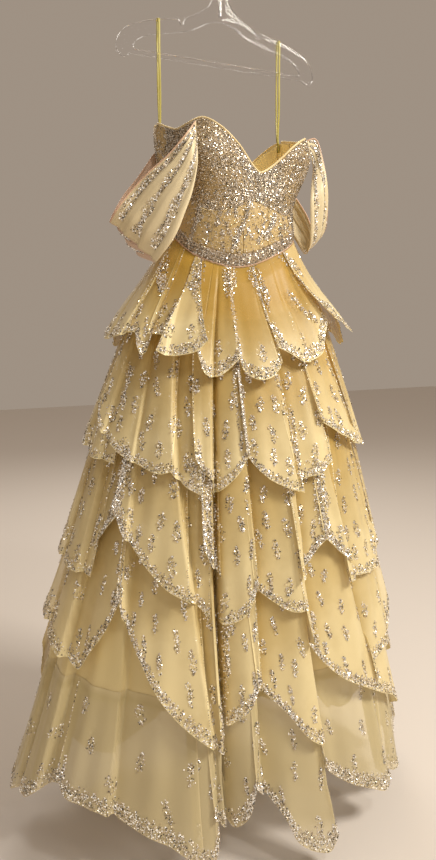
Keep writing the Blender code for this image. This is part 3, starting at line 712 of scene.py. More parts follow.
# ---- hanger ----
print("hanger")
hanger = {
    "depth": 0.008, "edge": 0.0016, "hookWire": 0.0022, "hookInside": 0.021,
    "stemFoot": -0.1022, "slotHalf": 0.0028, "barTop": -0.1885, "barBottom": -0.1965,
    "shoulder": (
        (0.0150, -0.060), (0.0190, -0.078), (0.0300, -0.092), (0.0480, -0.104),
        (0.0680, -0.114), (0.0760, -0.120), (0.0800, -0.130), (0.0855, -0.1305),
        (0.0890, -0.1225), (0.1000, -0.1225), (0.1370, -0.1300), (0.1670, -0.1390),
        (0.1920, -0.1500), (0.2080, -0.1650), (0.2150, -0.1830), (0.2130, -0.1960),
        (0.2050, -0.2030), (0.1950, -0.2020), (0.1890, -0.1965),
    ),
    "window": (
        (0.0, -0.1130), (0.0140, -0.1145), (0.0320, -0.1210), (0.0560, -0.1345),
        (0.0900, -0.1450), (0.1400, -0.1560), (0.1680, -0.1670), (0.1800, -0.1780),
        (0.1830, -0.1850), (0.1800, -0.1885),
    ),
}


def roundedLine(points, count):
    return smoothPath([(x, 0, z) for x, z in points], count)[:, [0, 2]]


# a plate with rounded edges, standing in the XZ plane; the outlines after the first are holes
def flatShape(name, outlines, depth, edge, finish, nodes, body=dressBody):
    curve = bpy.data.curves.new(name, "CURVE")
    curve.dimensions = "2D"
    curve.fill_mode = "BOTH"
    curve.extrude = depth / 2 - edge
    curve.bevel_depth = edge
    curve.bevel_resolution = 3
    curve.offset = -edge
    for outline in outlines:
        polyLine(curve, [(x, z, 0) for x, z in outline], closed=True)
    return seat(meshOf(curve, finish, 35, math.pi / 2), nodes, body)


def makeHanger():
    h = hanger
    arm = roundedLine(h["shoulder"], 90)
    right = [(h["slotHalf"], h["stemFoot"] - 0.0003), (h["slotHalf"], -0.058), (0.010, -0.057)]
    right += [tuple(p) for p in arm] + [(0.10, h["barBottom"]), (0.0, h["barBottom"])]
    outer = right + [(-x, z) for x, z in reversed(right[:-1])]
    hole = [tuple(p) for p in roundedLine(h["window"], 40)]
    hole = hole + [(0.09, h["barTop"]), (0.0, h["barTop"])]
    inner = hole + [(-x, z) for x, z in reversed(hole[1:-1])]
    flatShape("hangerBody", [outer, inner], h["depth"], h["edge"], clearFinish,
              ["hanger_body"])
    middle = h["hookInside"] + h["hookWire"]
    turns = np.radians(np.linspace(205, -35, 60))
    points = [(middle * math.cos(t), 0, middle * math.sin(t) - h["hookInside"]) for t in turns]
    tail = smoothPath([points[-1], (0.0125, 0, -0.0415), (0.0055, 0, -0.0475),
                       (0.0012, 0, -0.0535), (0, 0, -0.061), (0, 0, -0.080)], 24)
    points += [tuple(p) for p in tail[1:]] + [(0, 0, h["stemFoot"])]
    tube("hangerHook", points, h["hookWire"], hookMetal, ["hanger_hook"], 14)


def makeLoops():
    ribbon = {"x": 0.1312, "footX": 0.1335, "width": 0.004, "top": -0.1272, "foot": -0.345}
    half = hanger["depth"] / 2 + 0.0009
    path = [(ribbon["footX"], 0.0012, ribbon["foot"]), (ribbon["footX"], 0.0012, -0.334),
            (ribbon["x"], 0.0014, -0.320), (ribbon["x"], half, -0.270),
            (ribbon["x"], half, -0.200), (ribbon["x"], half, ribbon["top"] - 0.004),
            (ribbon["x"], half * 0.75, ribbon["top"] - 0.0008), (ribbon["x"], 0, ribbon["top"])]
    path += [(x, -y, z) for x, y, z in reversed(path[:-1])]
    line = smoothPath(path, 130)
    for side, name in ((-1, "left"), (1, "right")):
        run = np.linspace(0, 1, len(line))
        twist = 0.5 * np.sin(run * 21) * np.sin(np.pi * run) ** 0.5 * (np.abs(run - 0.5) > 0.06)
        rows = []
        for edge in (-0.5, -0.17, 0.17, 0.5):
            x = side * line[:, 0] + edge * ribbon["width"] * np.cos(twist)
            y = -line[:, 1] + edge * ribbon["width"] * np.sin(twist) * 0.45
            rows.append(np.stack([x, y, line[:, 2]], -1))
        grid = np.stack(rows[::-1])
        clothPiece(f"hangerLoop_{name}", grid, cloths["ribbon"], [f"hanger_loop_{name}"],
                   wall=0.0007, sheet=False)


makeHanger()
makeLoops()

# ---- bodice ----
print("bodice")
bodiceStyle = {
    # angles in degrees
    "seam": 0.25, "cupSeam": 0.15, "centreHalf": 12, "liningFrom": 97, "zipEdge": 178.84,
    # sizes in metres
    "roll": 0.0019, "rollGap": 0.0004, "boneRise": 0.0012, "liningWall": 0.0008,
    "liningGap": 0.0005, "liningDrop": 0.002,
    # sequins: how many, and how far those on the bones stray; those of a leaf with its size
    "cupBeads": 11500, "boneBeads": 560, "boneStray": (1.1, 0.002), "looseBeads": (70000, 90000),
    "leaf": (0.0070, 0.0048, 22),
}
bandStyle = {"wall": 0.0020, "rows": 12, "standOff": 0.0008, "swell": 0.0010, "beads": 7000,
             "roll": 0.0011, "rollHeight": 0.0012, "rollOut": 0.0016}
boneLines = (
    # angle and height down each bone, and its half-width in degrees
    (((-48, -0.480), (-54, -0.510), (-61, -0.545)), 2.2),
    (((-5, -0.472), (-12, -0.516), (-22, -0.565)), 2.6),
    (((20, -0.494), (15, -0.514), (9, -0.540)), 2.4),
    (((48, -0.480), (54, -0.500), (61, -0.525)), 2.2),
)


# how far the bones stand out under the net
def boneRise(angle, height):
    rise = np.zeros_like(angle)
    for spots, half in boneLines:
        table = np.array([(-z, a) for a, z in spots])
        middle = np.interp(-height, table[:, 0], table[:, 1])
        rise += bodiceStyle["boneRise"] * softBump((angle - middle) / half)
    return rise


def bandTop(angle):
    return waistAt(angle) + form["bandHeight"]


def panelSurface(start, end, top, foot, out=0.0, bones=False):
    def surface(u, v):
        angle = start + (end - start) * u
        height = top(angle) + (foot(angle) - top(angle)) * v
        extra = boneRise(angle, height) if bones else 0.0
        return bodicePoint(angle, height, out + extra)
    return surface


def gridOf(surface, columns, rows):
    u, v = np.meshgrid(np.linspace(0, 1, columns), np.linspace(0, 1, rows))
    return surface(u, v)


def makeBodice():
    s = bodiceStyle
    seam, zipEdge, centre = s["seam"], s["zipEdge"], s["centreHalf"]
    above = lambda a: bandTop(a) + 0.0004
    under = lambda a: cupFootAt(a) - 0.0005
    bodiceBeads, cupBeads = BeadList(), BeadList()
    panels = (
        # piece, from and to on each side, top, columns, rows, leaf patches, dense, with bones
        ("Front", centre + seam, form["cupOuter"], under, 70, 26, 30, False, True),
        ("Side", form["cupOuter"] + 0.35, 90 - seam, neckAt, 12, 40, 26, True, False),
        ("Back", 90 + seam, zipEdge, neckAt, 60, 34, 110, True, False),
    )
    for side, name in ((-1, "left"), (1, "right")):
        start, end = sorted((side * s["cupSeam"], side * form["cupOuter"]))
        cup = panelSurface(start, end, neckAt, cupFootAt)
        columns, rows = 60, 34
        clothPiece(f"cup_{name}Cloth", gridOf(cup, columns, rows), cloths["cupNet"],
                   [f"cup_{name}"], wall=form["bodiceWall"],
                   lift=np.repeat(np.linspace(0, 1, rows)[:, None] ** 1.5, columns, 1))
        u, v = rng.random((2, s["cupBeads"]))
        patchy = np.sin(11 * u + 3 * v) * np.sin(9 * v - 5 * u + 1) + rng.uniform(-0.6, 0.9, len(u))
        kept = (patchy > 0) | (rng.random(len(u)) < 0.45) | (v < 0.12)
        cupBeads.add(cup, u[kept], v[kept], beadSizes["cup"])
        for part, near, far, top, columns, rows, leaves, dense, bones in panels:
            start, end = sorted((side * near, side * far))
            panel = panelSurface(start, end, top, above, bones=bones)
            clothPiece(f"bodice{part}_{name}", gridOf(panel, columns, rows), cloths["bodiceNet"],
                       [f"bodice_{part.lower()}_{name}"], wall=form["bodiceWall"])
            scatterNet(bodiceBeads, panel, start, end, leaves, dense)
        start, end = sorted((side * s["liningFrom"], side * zipEdge))
        lined = panelSurface(start, end, lambda a: neckAt(a) - s["liningDrop"], bandTop,
                             -form["bodiceWall"] - s["liningGap"])
        clothPiece(f"liningBack_{name}", gridOf(lined, 50, 24), cloths["insideSatin"],
                   [f"lining_back_{name}"], wall=s["liningWall"])
        binding(f"bindingBack_{name}", start, end, [f"binding_back_{name}"])
    panel = panelSurface(seam - centre, centre - seam, under, above, bones=True)
    clothPiece("bodiceFront_centre", gridOf(panel, 30, 26), cloths["bodiceNet"],
               ["bodice_front_centre"], wall=form["bodiceWall"])
    scatterNet(bodiceBeads, panel, -centre, centre, 12)
    binding("bindingFront", -90 + seam, 90 - seam, ["binding_front"])
    count, (strayAcross, strayDown) = s["boneBeads"], s["boneStray"]
    for spots, _ in boneLines:
        path = smoothPath(spots, count)
        angle = path[:, 0] + rng.normal(0, strayAcross, count)
        height = path[:, 1] + rng.normal(0, strayDown, count)
        here = bodicePoint(angle, height, boneRise(angle, height))
        ahead = bodicePoint(angle + 0.5, height, 0) - bodicePoint(angle - 0.5, height, 0)
        down = bodicePoint(angle, height - 0.002, 0) - bodicePoint(angle, height + 0.002, 0)
        bodiceBeads.places.append(here)
        bodiceBeads.normals.append(np.cross(down, ahead))
        bodiceBeads.sizes.append(beadSizes["cup"] * rng.uniform(0.7, 1.2, count))
    cupBeads.piece("cupSequins", 0.80)
    bodiceBeads.piece("bodiceSequins", 0.84)


# small leaf patches at random, with loose sequins between them
def scatterNet(beads, surface, start, end, leaves, dense=False):
    width, length = abs(end - start) / 180 * math.pi * 0.13, 0.18 if dense else 0.10
    for _ in range(leaves):
        motif(beads, surface, width, length, rng.random(), rng.uniform(0.02, 0.98),
              *bodiceStyle["leaf"], rng.uniform(-0.4, 0.4))
    loose = int(width * length * bodiceStyle["looseBeads"][dense])
    beads.add(surface, rng.random(loose), rng.random(loose), beadSizes["net"])


# the rolled edge along the neckline
def binding(name, start, end, nodes):
    radius = bodiceStyle["roll"]
    angle = np.linspace(start, end, max(24, int(abs(end - start) * 0.9)))
    here = bodicePoint(angle, neckAt(angle), -form["bodiceWall"] / 2)
    ahead, behind = (bodicePoint(a, neckAt(a), 0) for a in (angle + 1, angle - 1))
    run = ahead - behind
    slope = run[:, 2] / np.hypot(run[:, 0], run[:, 1])
    here[:, 2] += (radius + bodiceStyle["rollGap"]) * np.sqrt(1 + slope**2)
    tube(name, here, radius, cloths["goldBinding"], nodes, 10)


def makeWaistband():
    b = bandStyle
    beads = BeadList()
    seam, zipEdge = bodiceStyle["seam"], bodiceStyle["zipEdge"]
    spans = {
        "waistbandFront": (-90 + seam, 90 - seam, ["waistband_front"], 180),
        "waistbandBackRight": (90 + seam, zipEdge, ["waistband_back_right"], 90),
        "waistbandBackLeft": (360 - zipEdge, 270 - seam, ["waistband_back_left"], 90),
    }
    for name, (start, end, nodes, columns) in spans.items():
        def surface(u, v, start=start, end=end):
            angle = start + (end - start) * u
            height = waistAt(angle) + form["bandHeight"] * (1 - v)
            return bodicePoint(angle, height, b["standOff"] + b["swell"] * np.sin(np.pi * v))
        clothPiece(name, gridOf(surface, columns, b["rows"]), cloths["bandNet"], nodes,
                   wall=b["wall"])
        count = int(b["beads"] * (end - start) / 360)
        beads.add(surface, rng.random(count), rng.random(count), beadSizes["band"])
        angle = np.linspace(start, end, columns)
        rolled = bodicePoint(angle, waistAt(angle) + b["rollHeight"], b["rollOut"])
        tube(f"{name}Roll", rolled, b["roll"], cloths["pinkBinding"], [], 8)
    beads.piece("waistbandSequins", 0.80)


makeBodice()
makeWaistband()

# ---- zip ----
print("zip")
zipSizes = {"tapeHalf": 0.0022, "tooth": (0.0022, 0.0012, 0.0011), "toothBevel": 0.18,
            "pitch": 0.0021, "stagger": 0.0005, "top": -0.362, "sliderTaper": 0.35,
            "sliderBevel": 0.0009, "tabWaist": 0.62, "tabHole": (0.0011, 0.0018), "tabEdge": 0.0003}


def makeZip():
    heights = np.linspace(neckAt(180.0) - 0.004, waistAt(180.0), 60)
    grid = np.stack([
        np.stack([np.full(60, x), bodicePoint(180.0, heights, 0.0)[:, 1], heights], -1)
        for x in np.linspace(zipSizes["tapeHalf"], -zipSizes["tapeHalf"], 5)
    ], 1)
    clothPiece("zipTape", grid, cloths["goldBinding"], ["zip_tape"], wall=0.0010,
               sheet=False)
    deselect()
    bpy.ops.mesh.primitive_cube_add(size=1)
    one = bpy.context.active_object
    bpy.ops.object.mode_set(mode="EDIT")
    bpy.ops.mesh.bevel(offset=zipSizes["toothBevel"], segments=1)
    bpy.ops.object.mode_set(mode="OBJECT")
    corners = np.array([v.co[:] for v in one.data.vertices])
    one.data.calc_loop_triangles()
    faces = np.array([t.vertices[:] for t in one.data.loop_triangles])
    bpy.data.objects.remove(one, do_unlink=True)
    levels = np.arange(waistAt(180.0) + 0.002, zipSizes["top"], zipSizes["pitch"])
    sides = np.where(np.arange(len(levels)) % 2, 1, -1)
    back = bodicePoint(180.0, levels, 0.0)[:, 1] + 0.0003
    middles = np.stack([sides * zipSizes["stagger"], back, levels], -1)
    points = middles[:, None] + corners[None] * np.array(zipSizes["tooth"])
    allFaces = (faces[None] + np.arange(len(levels))[:, None, None] * len(corners)).reshape(-1, 3)
    teeth = buildMesh("zipTeeth", points, allFaces, zipMetal, smooth=False)
    seat(teeth)
    low, high = (np.array(c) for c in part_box("zip_slider"))
    deselect()
    bpy.ops.mesh.primitive_cube_add(size=1, location=tuple((low + high) / 2))
    slider = bpy.context.active_object
    slider.name = "zipSlider"
    slider.scale = tuple(high - low)
    bpy.ops.object.transform_apply(location=True, rotation=True, scale=True)
    bpy.ops.object.mode_set(mode="EDIT")
    bpy.ops.mesh.bevel(offset=zipSizes["sliderBevel"], segments=3)
    bpy.ops.object.mode_set(mode="OBJECT")
    for vertex in slider.data.vertices:
        down = (high[2] - vertex.co.z) / (high[2] - low[2])
        vertex.co.x *= 1 - zipSizes["sliderTaper"] * down
    bpy.ops.object.shade_smooth_by_angle(angle=math.radians(40))
    slider.data.materials.append(zipMetal)
    seat(slider, ["zip_slider"])
    low, high = (np.array(c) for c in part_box("zip_pull"))
    middle, half = (low + high) / 2, (high - low) / 2
    turns = np.radians(np.arange(0, 360, 10))
    waist = zipSizes["tabWaist"]
    narrow = half[0] * (waist + (1 - waist) * np.exp(-((np.sin(turns) + 0.75) ** 2) * 2))
    outline = np.stack([narrow * np.cos(turns), middle[2] + half[2] * np.sin(turns)], -1)
    holeMiddle = middle[2] - half[2] * 0.55
    holeWide, holeTall = zipSizes["tabHole"]
    hole = np.stack([holeWide * np.cos(turns), holeMiddle + holeTall * np.sin(turns)], -1)
    pull = flatShape("zipPull", [outline, hole], 2 * half[1], zipSizes["tabEdge"], zipMetal,
                     ["zip_pull"], pullBody)
    for vertex in pull.data.vertices:
        vertex.co.y += middle[1]


makeZip()

# ---- sleeves ----
print("sleeves")
sleeveTable = {
    "left": (
        ((-0.131, -0.136, -0.362), (-0.119, -0.152, -0.411)),
        ((-0.162, -0.122, -0.400), (-0.127, -0.148, -0.461)),
        ((-0.191, -0.104, -0.427), (-0.139, -0.138, -0.500)),
        ((-0.218, -0.086, -0.457), (-0.151, -0.126, -0.536)),
        ((-0.242, -0.074, -0.490), (-0.165, -0.110, -0.564)),
        ((-0.252, -0.058, -0.514), (-0.178, -0.092, -0.586)),
        ((-0.240, -0.042, -0.497), (-0.200, -0.054, -0.568)),
        ((-0.212, -0.022, -0.458), (-0.180, -0.030, -0.540)),
        ((-0.176, -0.002, -0.418), (-0.158, -0.004, -0.500)),
    ),
    "right": (
        ((0.160, -0.099, -0.338), (0.153, -0.098, -0.388)),
        ((0.170, -0.107, -0.374), (0.141, -0.113, -0.428)),
        ((0.177, -0.113, -0.416), (0.132, -0.126, -0.465)),
        ((0.186, -0.106, -0.460), (0.140, -0.116, -0.508)),
        ((0.190, -0.094, -0.504), (0.150, -0.098, -0.540)),
        ((0.188, -0.074, -0.524), (0.158, -0.074, -0.556)),
        ((0.190, -0.046, -0.508), (0.166, -0.046, -0.552)),
        ((0.190, -0.020, -0.470), (0.170, -0.018, -0.530)),
        ((0.172, 0.004, -0.424), (0.160, 0.006, -0.490)),
    ),
}
sleeveStyle = {
    # where it is sewn on: angles, and its lower and upper edge as shares of the bodice's height
    "frontAngle": (-42, 56), "backAngle": 104, "frontLow": 0.10, "backEdges": (0.25, 0.50),
    "sewnOff": 0.0016, "turnStation": 6, "wall": 0.0007, "belly": 0.012, "pleat": 0.0028,
    "pleatCounts": (3, 7), "piping": 0.0012,
    # lines of sequins: where, how many, and the plain gap round the turn under the arm
    "beadLines": (0.12, 0.46, 0.80), "lineBeads": 1800, "lineHalf": 0.080, "plainTurn": 0.045,
}


# from the front of the cup, through the stations, to the back; pleated along its length
def sleeveSurface(side, stations):
    s = sleeveStyle
    front, back = s["frontAngle"][side > 0], side * s["backAngle"]
    top = neckAt(front)
    foot = cupFootAt(front)
    off = s["sewnOff"]
    start = (bodicePoint(np.array(front), top - 0.001, off),
             bodicePoint(np.array(front), top + s["frontLow"] * (foot - top), off))
    high, low = neckAt(back), bandTop(back)
    end = [bodicePoint(np.array(back), high + share * (low - high), off)
           for share in s["backEdges"]]
    path = [start, *stations, end]
    turn = s["turnStation"]
    halves = []
    for low, part in ((0.0, path[:turn + 1]), (0.5, path[turn:])):
        run = np.linspace(low, low + 0.5, len(part))
        halves.append([np.column_stack([run, [p[edge] for p in part]]) for edge in (0, 1)])

    # u runs from the cup round to the back, v from the upper edge to the lower one
    def surface(u, v):
        along = u if side > 0 else 1 - u
        inFront = (along < 0.5)[..., None]
        high, low = (np.where(inFront, eased(halves[0][e], along), eased(halves[1][e], along))
                     for e in (0, 1))
        point = high + (low - high) * v[..., None]
        swell = np.abs(np.sin(2 * np.pi * along)) * np.sin(np.pi * v) * s["belly"]
        broad, fine = s["pleatCounts"]
        folds = np.cos(2 * np.pi * (broad * v + 0.15 * np.sin(6 * along)))
        folds = folds + 0.4 * np.cos(2 * np.pi * fine * v + 9 * along)
        move = swell + np.sin(np.pi * along) ** 0.6 * s["pleat"] * folds
        return point + np.stack([side * move, -0.6 * move * (1 - 1.6 * along), 0 * move], -1)
    return surface


def makeSleeves():
    s = sleeveStyle
    beads = BeadList()
    for name, side in (("left", -1), ("right", 1)):
        surface = sleeveSurface(side, sleeveTable[name])
        halves = {"front": (0.0, 0.5), "back": (0.5, 1.0)}
        for part, (low, high) in halves.items():
            if side < 0:
                low, high = 1 - high, 1 - low
            u, v = np.meshgrid(np.linspace(low, high, 50), np.linspace(0, 1, 30))
            rim = np.clip(1 - np.minimum(v, 1 - v) * 30, 0, 1)
            finish = cloths["sleevePink" if (name, part) == ("left", "back") else "sleeveCloth"]
            clothPiece(f"sleeve_{name}_{part}Drape", surface(u, v), finish,
                       [f"sleeve_{name}_{part}"], lift=0.4 + 0.4 * v, rim=rim,
                       wall=s["wall"])
        for line in s["beadLines"]:
            u = rng.random(s["lineBeads"]) * 0.94 + 0.03
            u = u[np.abs(u - 0.5) > s["plainTurn"]]
            along = u if side > 0 else 1 - u
            spread = s["lineHalf"] * (0.85 + 0.3 * np.sin(50 * along + 9 * line))
            v = line + rng.uniform(-1, 1, len(u)) * spread
            beads.add(surface, u, v, beadSizes["motif"])
        edge = np.linspace(0.01, 0.99, 90)
        tube(f"sleevePiping_{name}", surface(edge, 0 * edge), s["piping"],
             cloths["pinkBinding"], [], 8)
    beads.piece("sleeveSequins")


makeSleeves()

# ---- lining and petals ----
print("skirt")
lining = {"foot": 0.72, "splits": (-104, -38, 31, 92, 165, 256), "seam": 0.09, "wall": 0.0008,
          "perDegree": 1.2, "rows": 26}
topGap = 0.0004  # between the skirt's upper edges and what they are sewn to


def makeLining():
    splits, seam, foot = lining["splits"], lining["seam"], lining["foot"]
    for number, (start, end) in enumerate(zip(splits, splits[1:]), 1):
        columns = int((end - start) * lining["perDegree"])
        u, v = np.meshgrid(np.linspace(start + seam, end - seam, columns),
                           np.linspace(0, 1, lining["rows"]))
        height = skirtHeight(u, v * foot) - topGap
        # the lining is darker golden near its top and paler towards its foot, with painted shade
        # deepening the pleats' valleys
        valley = np.minimum(skirtFold(u, v * foot), 0)
        clothPiece(f"liningGore{number}", skirtPoint(u, height, 0.0), cloths["lining"],
                   [f"lining_gore{number}"], wall=lining["wall"],
                   lift=np.clip(v * 2.6 - 0.75 + 30 * valley, 0, 1))


# a petal's name, left and right angle at its top, points along its lower edge, layer, how far
# it lifts off, and the beads on its left and right edge: 0 none, 1 a line, 2 a beaded band
Petal = namedtuple("Petal", "name left right edge layer lift leftBeads rightBeads")
petalTiers = {
    # share where the tier is sewn on, how far its hem stands off, its petals, and the plain
    # ones behind: from and to, how many, and the heights of their notches and tips
    "tier1": (0.0, 0.024, (
        ("a", -104, -82, ((-104, -0.712), (-96, -0.724), (-86, -0.722),
             (-75, -0.714)), 0, 0.014, 0, 1),
        ("b", -84, -66, ((-78, -0.712), (-71, -0.714), (-67, -0.738), (-64, -0.752),
             (-61, -0.720)), 1, 0.006, 1, 1),
        ("c", -70, -48, ((-65, -0.714), (-58, -0.716), (-49, -0.722)), 0, 0.0, 0, 0),
        ("d", -54, -48, ((-54.5, -0.742), (-50, -0.751), (-44, -0.750), (-38, -0.743),
             (-34, -0.726)), 3, 0.020, 1, 1),
        ("e", -49, -23, ((-39, -0.742), (-35, -0.780), (-31, -0.789), (-26, -0.780),
             (-20, -0.754)), 2, 0.002, 1, 1),
        ("f", -25, -3, ((-21, -0.754), (-18, -0.780), (-13, -0.794), (-7, -0.790),
             (-1, -0.766)), 1, 0.002, 1, 1),
        ("g", -5, 31, ((-2, -0.740), (4, -0.752), (11, -0.766), (18, -0.764), (25, -0.750),
             (31, -0.716), (37, -0.690)), 0, 0.004, 1, 1),
        ("h", 29, 54, ((34, -0.684), (44, -0.696), (52, -0.706), (60, -0.716)), 2, 0.020, 1, 1),
    ), (58, 256, 7, -0.705, -0.745)),
    "tier2": (0.09, 0.018, (
        ("a", -104, -84, ((-104, -0.898), (-97, -0.914), (-88, -0.926), (-80, -0.934),
             (-67, -0.940)), 0, 0.008, 0, 0),
        ("b", -88, -50, ((-84, -0.842), (-79, -0.882), (-72, -0.906), (-64, -0.926),
             (-56, -0.940), (-48, -0.950), (-43, -0.944)), 2, 0.006, 1, 1),
        ("c", -54, -38, ((-46, -0.938), (-42, -0.958), (-38, -0.975),
             (-33, -0.986)), 1, 0.002, 0, 1),
        ("d", -44, -33, ((-36, -0.925), (-33, -0.945), (-29, -0.964)), 3, 0.002, 1, 1),
        ("e", -36, -20, ((-29, -0.988), (-25.5, -0.975), (-21, -0.950),
             (-17, -0.918)), 1, 0.002, 1, 2),
        ("f", -22, -2, ((-19, -0.912), (-15, -0.942), (-10, -0.966), (-4, -0.982),
             (2.5, -0.994)), 2, 0.003, 2, 1),
        ("g", -6, 17, ((-1, -0.975), (6, -0.968), (12, -0.962), (17, -0.944)), 1, 0.002, 0, 1),
        ("h", 13, 38, ((14, -0.868), (22, -0.886), (30, -0.904), (38, -0.920),
             (48, -0.932)), 0, 0.006, 1, 1),
    ), (46, 256, 7, -0.890, -0.945)),
    "tier3": (0.24, 0.017, (
        ("a", -104, -72, ((-104, -1.090), (-96, -1.112), (-88, -1.124), (-80, -1.130),
             (-69, -1.136)), 1, 0.008, 1, 1),
        ("a2", -76, -60, ((-74, -1.098), (-68, -1.060), (-61, -1.018)), 0, 0.004, 1, 1),
        ("b", -67, -41, ((-64, -1.014), (-58, -1.056), (-50, -1.100), (-42, -1.138),
             (-34, -1.160)), 2, 0.006, 2, 1),
        ("c", -46, -31, ((-36, -1.146), (-32, -1.172), (-28, -1.192)), 1, 0.002, 0, 1),
        ("d", -36, -29, ((-31.5, -1.070), (-28.5, -1.104), (-25.5, -1.126)), 3, 0.002, 2, 1),
        ("e", -31, -18, ((-25, -1.208), (-20, -1.199), (-17, -1.176),
             (-15, -1.142)), 1, 0.004, 1, 1),
        ("f", -21, -2, ((-16, -1.146), (-10, -1.176), (-5, -1.195), (0.5, -1.197)), 0, 0.002, 0, 1),
        ("g", -5, 13, ((-2, -1.142), (4, -1.112), (10, -1.078)), 2, 0.004, 1, 0),
        ("g2", 8, 26, ((9, -1.076), (15, -1.104), (21, -1.130)), 2, 0.004, 0, 1),
        ("h", 16, 46, ((19, -1.164), (30, -1.171), (38, -1.171), (48, -1.168),
             (55, -1.140)), 1, 0.006, 0, 1),
    ), (53, 256, 7, -1.090, -1.165)),
    "tier4": (0.38, 0.017, (
        ("a", -104, -60, ((-104, -1.203), (-95, -1.222), (-87, -1.250), (-78, -1.268),
             (-70, -1.290), (-67, -1.294), (-63, -1.258), (-59, -1.222),
             (-55, -1.165)), 2, 0.008, 1, 1),
        ("b", -62, -35, ((-57, -1.150), (-53, -1.212), (-48, -1.252), (-44, -1.288),
             (-40, -1.320), (-34, -1.362), (-28, -1.393), (-25.5, -1.404)), 1, 0.006, 1, 1),
        ("b2", -42, -28, ((-29, -1.385), (-25.5, -1.406), (-22, -1.428)), 0, 0.002, 0, 1),
        ("c", -31, -17, ((-23.5, -1.398), (-20, -1.372), (-16.5, -1.346),
             (-14, -1.302)), 1, 0.004, 0, 1),
        ("d", -21, -1, ((-15, -1.316), (-10, -1.350), (-6, -1.380), (-2, -1.420), (2, -1.437),
             (5, -1.412)), 0, 0.004, 0, 1),
        ("e", -5, 46, ((0, -1.250), (6, -1.300), (13, -1.338), (20, -1.362), (28, -1.388),
             (38, -1.420), (48, -1.452), (56, -1.510)), 2, 0.006, 1, 1),
        ("f", 22, 64, ((28, -1.372), (36, -1.342), (44, -1.332), (54, -1.322),
             (62, -1.276)), 3, 0.006, 1, 1),
    ), (58, 256, 6, -1.300, -1.420)),
    "tier5": (0.70, 0.012, (
        ("a", -104, -67, ((-104, -1.535), (-93, -1.549), (-85, -1.537), (-78, -1.528),
             (-71, -1.500), (-66, -1.488)), 1, 0.006, 0, 0),
        ("b", -70, -30, ((-68, -1.474), (-64, -1.500), (-58, -1.508), (-52, -1.513),
             (-46, -1.532), (-38, -1.554), (-32, -1.572), (-28, -1.592),
             (-26, -1.606)), 2, 0.008, 1, 0),
        ("b2", -33, -25, ((-28, -1.580), (-25.5, -1.606), (-24, -1.602),
             (-22.6, -1.570)), 1, 0.004, 0, 1),
        ("c", -28, -13, ((-24, -1.530), (-21, -1.552), (-19, -1.558), (-16.5, -1.540),
             (-14.6, -1.484)), 0, 0.004, 0, 1),
        ("d", -16, 3, ((-15, -1.486), (-10, -1.530), (-7, -1.568), (-5, -1.604), (-1, -1.630),
             (3, -1.634), (5.6, -1.608)), 1, 0.004, 0, 1),
        ("e", 1, 42, ((3, -1.480), (9, -1.520), (16, -1.550), (24, -1.575), (31, -1.592),
             (40, -1.568)), 0, 0.006, 0, 0),
    ), (38, 256, 7, -1.555, -1.620)),
}
petalStyle = {"sewnOff": 0.0017, "layerGap": 0.0022, "sideCurl": 0.0035, "hemWave": 0.0022,
              "hemGap": 0.0022, "hemCover": 196000, "leafPitch": 0.014, "beadStep": 0.0032,
              "edgeCover": 4200, "edgeLeafPitch": 0.022, "motifGap": 0.026,
              "lineCover": 240000, "lineSpots": 60, "backShare": 0.36, "closest": 0.0006,
              "topLayer": 0.35, "hemPower": 1.4, "liftPower": 2.2, "rim": 0.0025,
              "lowRim": 0.005, "foldPaintedShade": 14, "valleyPaintedShade": 22, "liftPale": 35}
tierBeads = {
    # width of the hem's band, motif spacing across and down, rows of motifs from the hem
    "tier1": (0.019, 0.052, 0.050, 1), "tier2": (0.013, 0.042, 0.050, 5),
    "tier3": (0.015, 0.046, 0.054, 5), "tier4": (0.018, 0.060, 0.060, 4),
    "tier5": (0.022, 0.085, 0.062, 3),
}
denseLines = {
    # half-width in metres, then the angle and height of points along each dense line
    "tier1": (
        (0.0110, (-80, -0.578), (-76, -0.603), (-68, -0.636)),
        (0.0145, (-50, -0.584), (-48, -0.602), (-46, -0.628)),
        (0.0155, (-24, -0.600), (-24, -0.640)), (0.0155, (-4, -0.602), (0, -0.650)),
        (0.0140, (27, -0.572), (33, -0.580), (40, -0.598)),
        (0.0060, (-56, -0.655), (-56, -0.700)),
        (0.0050, (-53, -0.624), (-48, -0.636), (-43, -0.656), (-39, -0.688), (-35, -0.724)),
        (0.0045, (-22, -0.650), (-20, -0.752)),
        (0.0060, (0, -0.640), (-2, -0.692), (3, -0.745)),
        (0.0060, (20, -0.640), (26, -0.690)),
        (0.0070, (30, -0.610), (35, -0.636), (38, -0.656), (48, -0.670), (47, -0.690)),
    ),
    "tier2": (
        (0.0065, (-21, -0.770), (-20, -0.864), (-17, -0.916)),
        (0.0110, (-37, -0.925), (-35, -0.965)),
        (0.0110, (8, -0.945), (12, -0.955)), (0.0120, (-66, -0.905), (-62, -0.928)),
        (0.0060, (2, -0.850), (2, -0.980)), (0.0050, (-72, -0.780), (-74, -0.870)),
    ),
    "tier3": (
        (0.0170, (-64, -0.915), (-64, -1.010)), (0.0080, (-65, -1.010), (-70, -1.085)),
        (0.0080, (-62, -1.010), (-56, -1.062)),
        (0.0070, (-31, -0.950), (-30, -1.032), (-28, -1.084), (-26, -1.120)),
        (0.0130, (12, -0.955), (10, -1.032), (11, -1.070)), (0.0080, (11, -1.070), (20, -1.122)),
        (0.0070, (8, -1.078), (0, -1.130)),
    ),
    "tier4": (
        (0.0080, (-56, -1.110), (-57, -1.170)), (0.0060, (-23, -1.200), (-22.5, -1.400)),
        (0.0060, (4, -1.230), (5, -1.280)),
    ),
    "tier5": (),
}
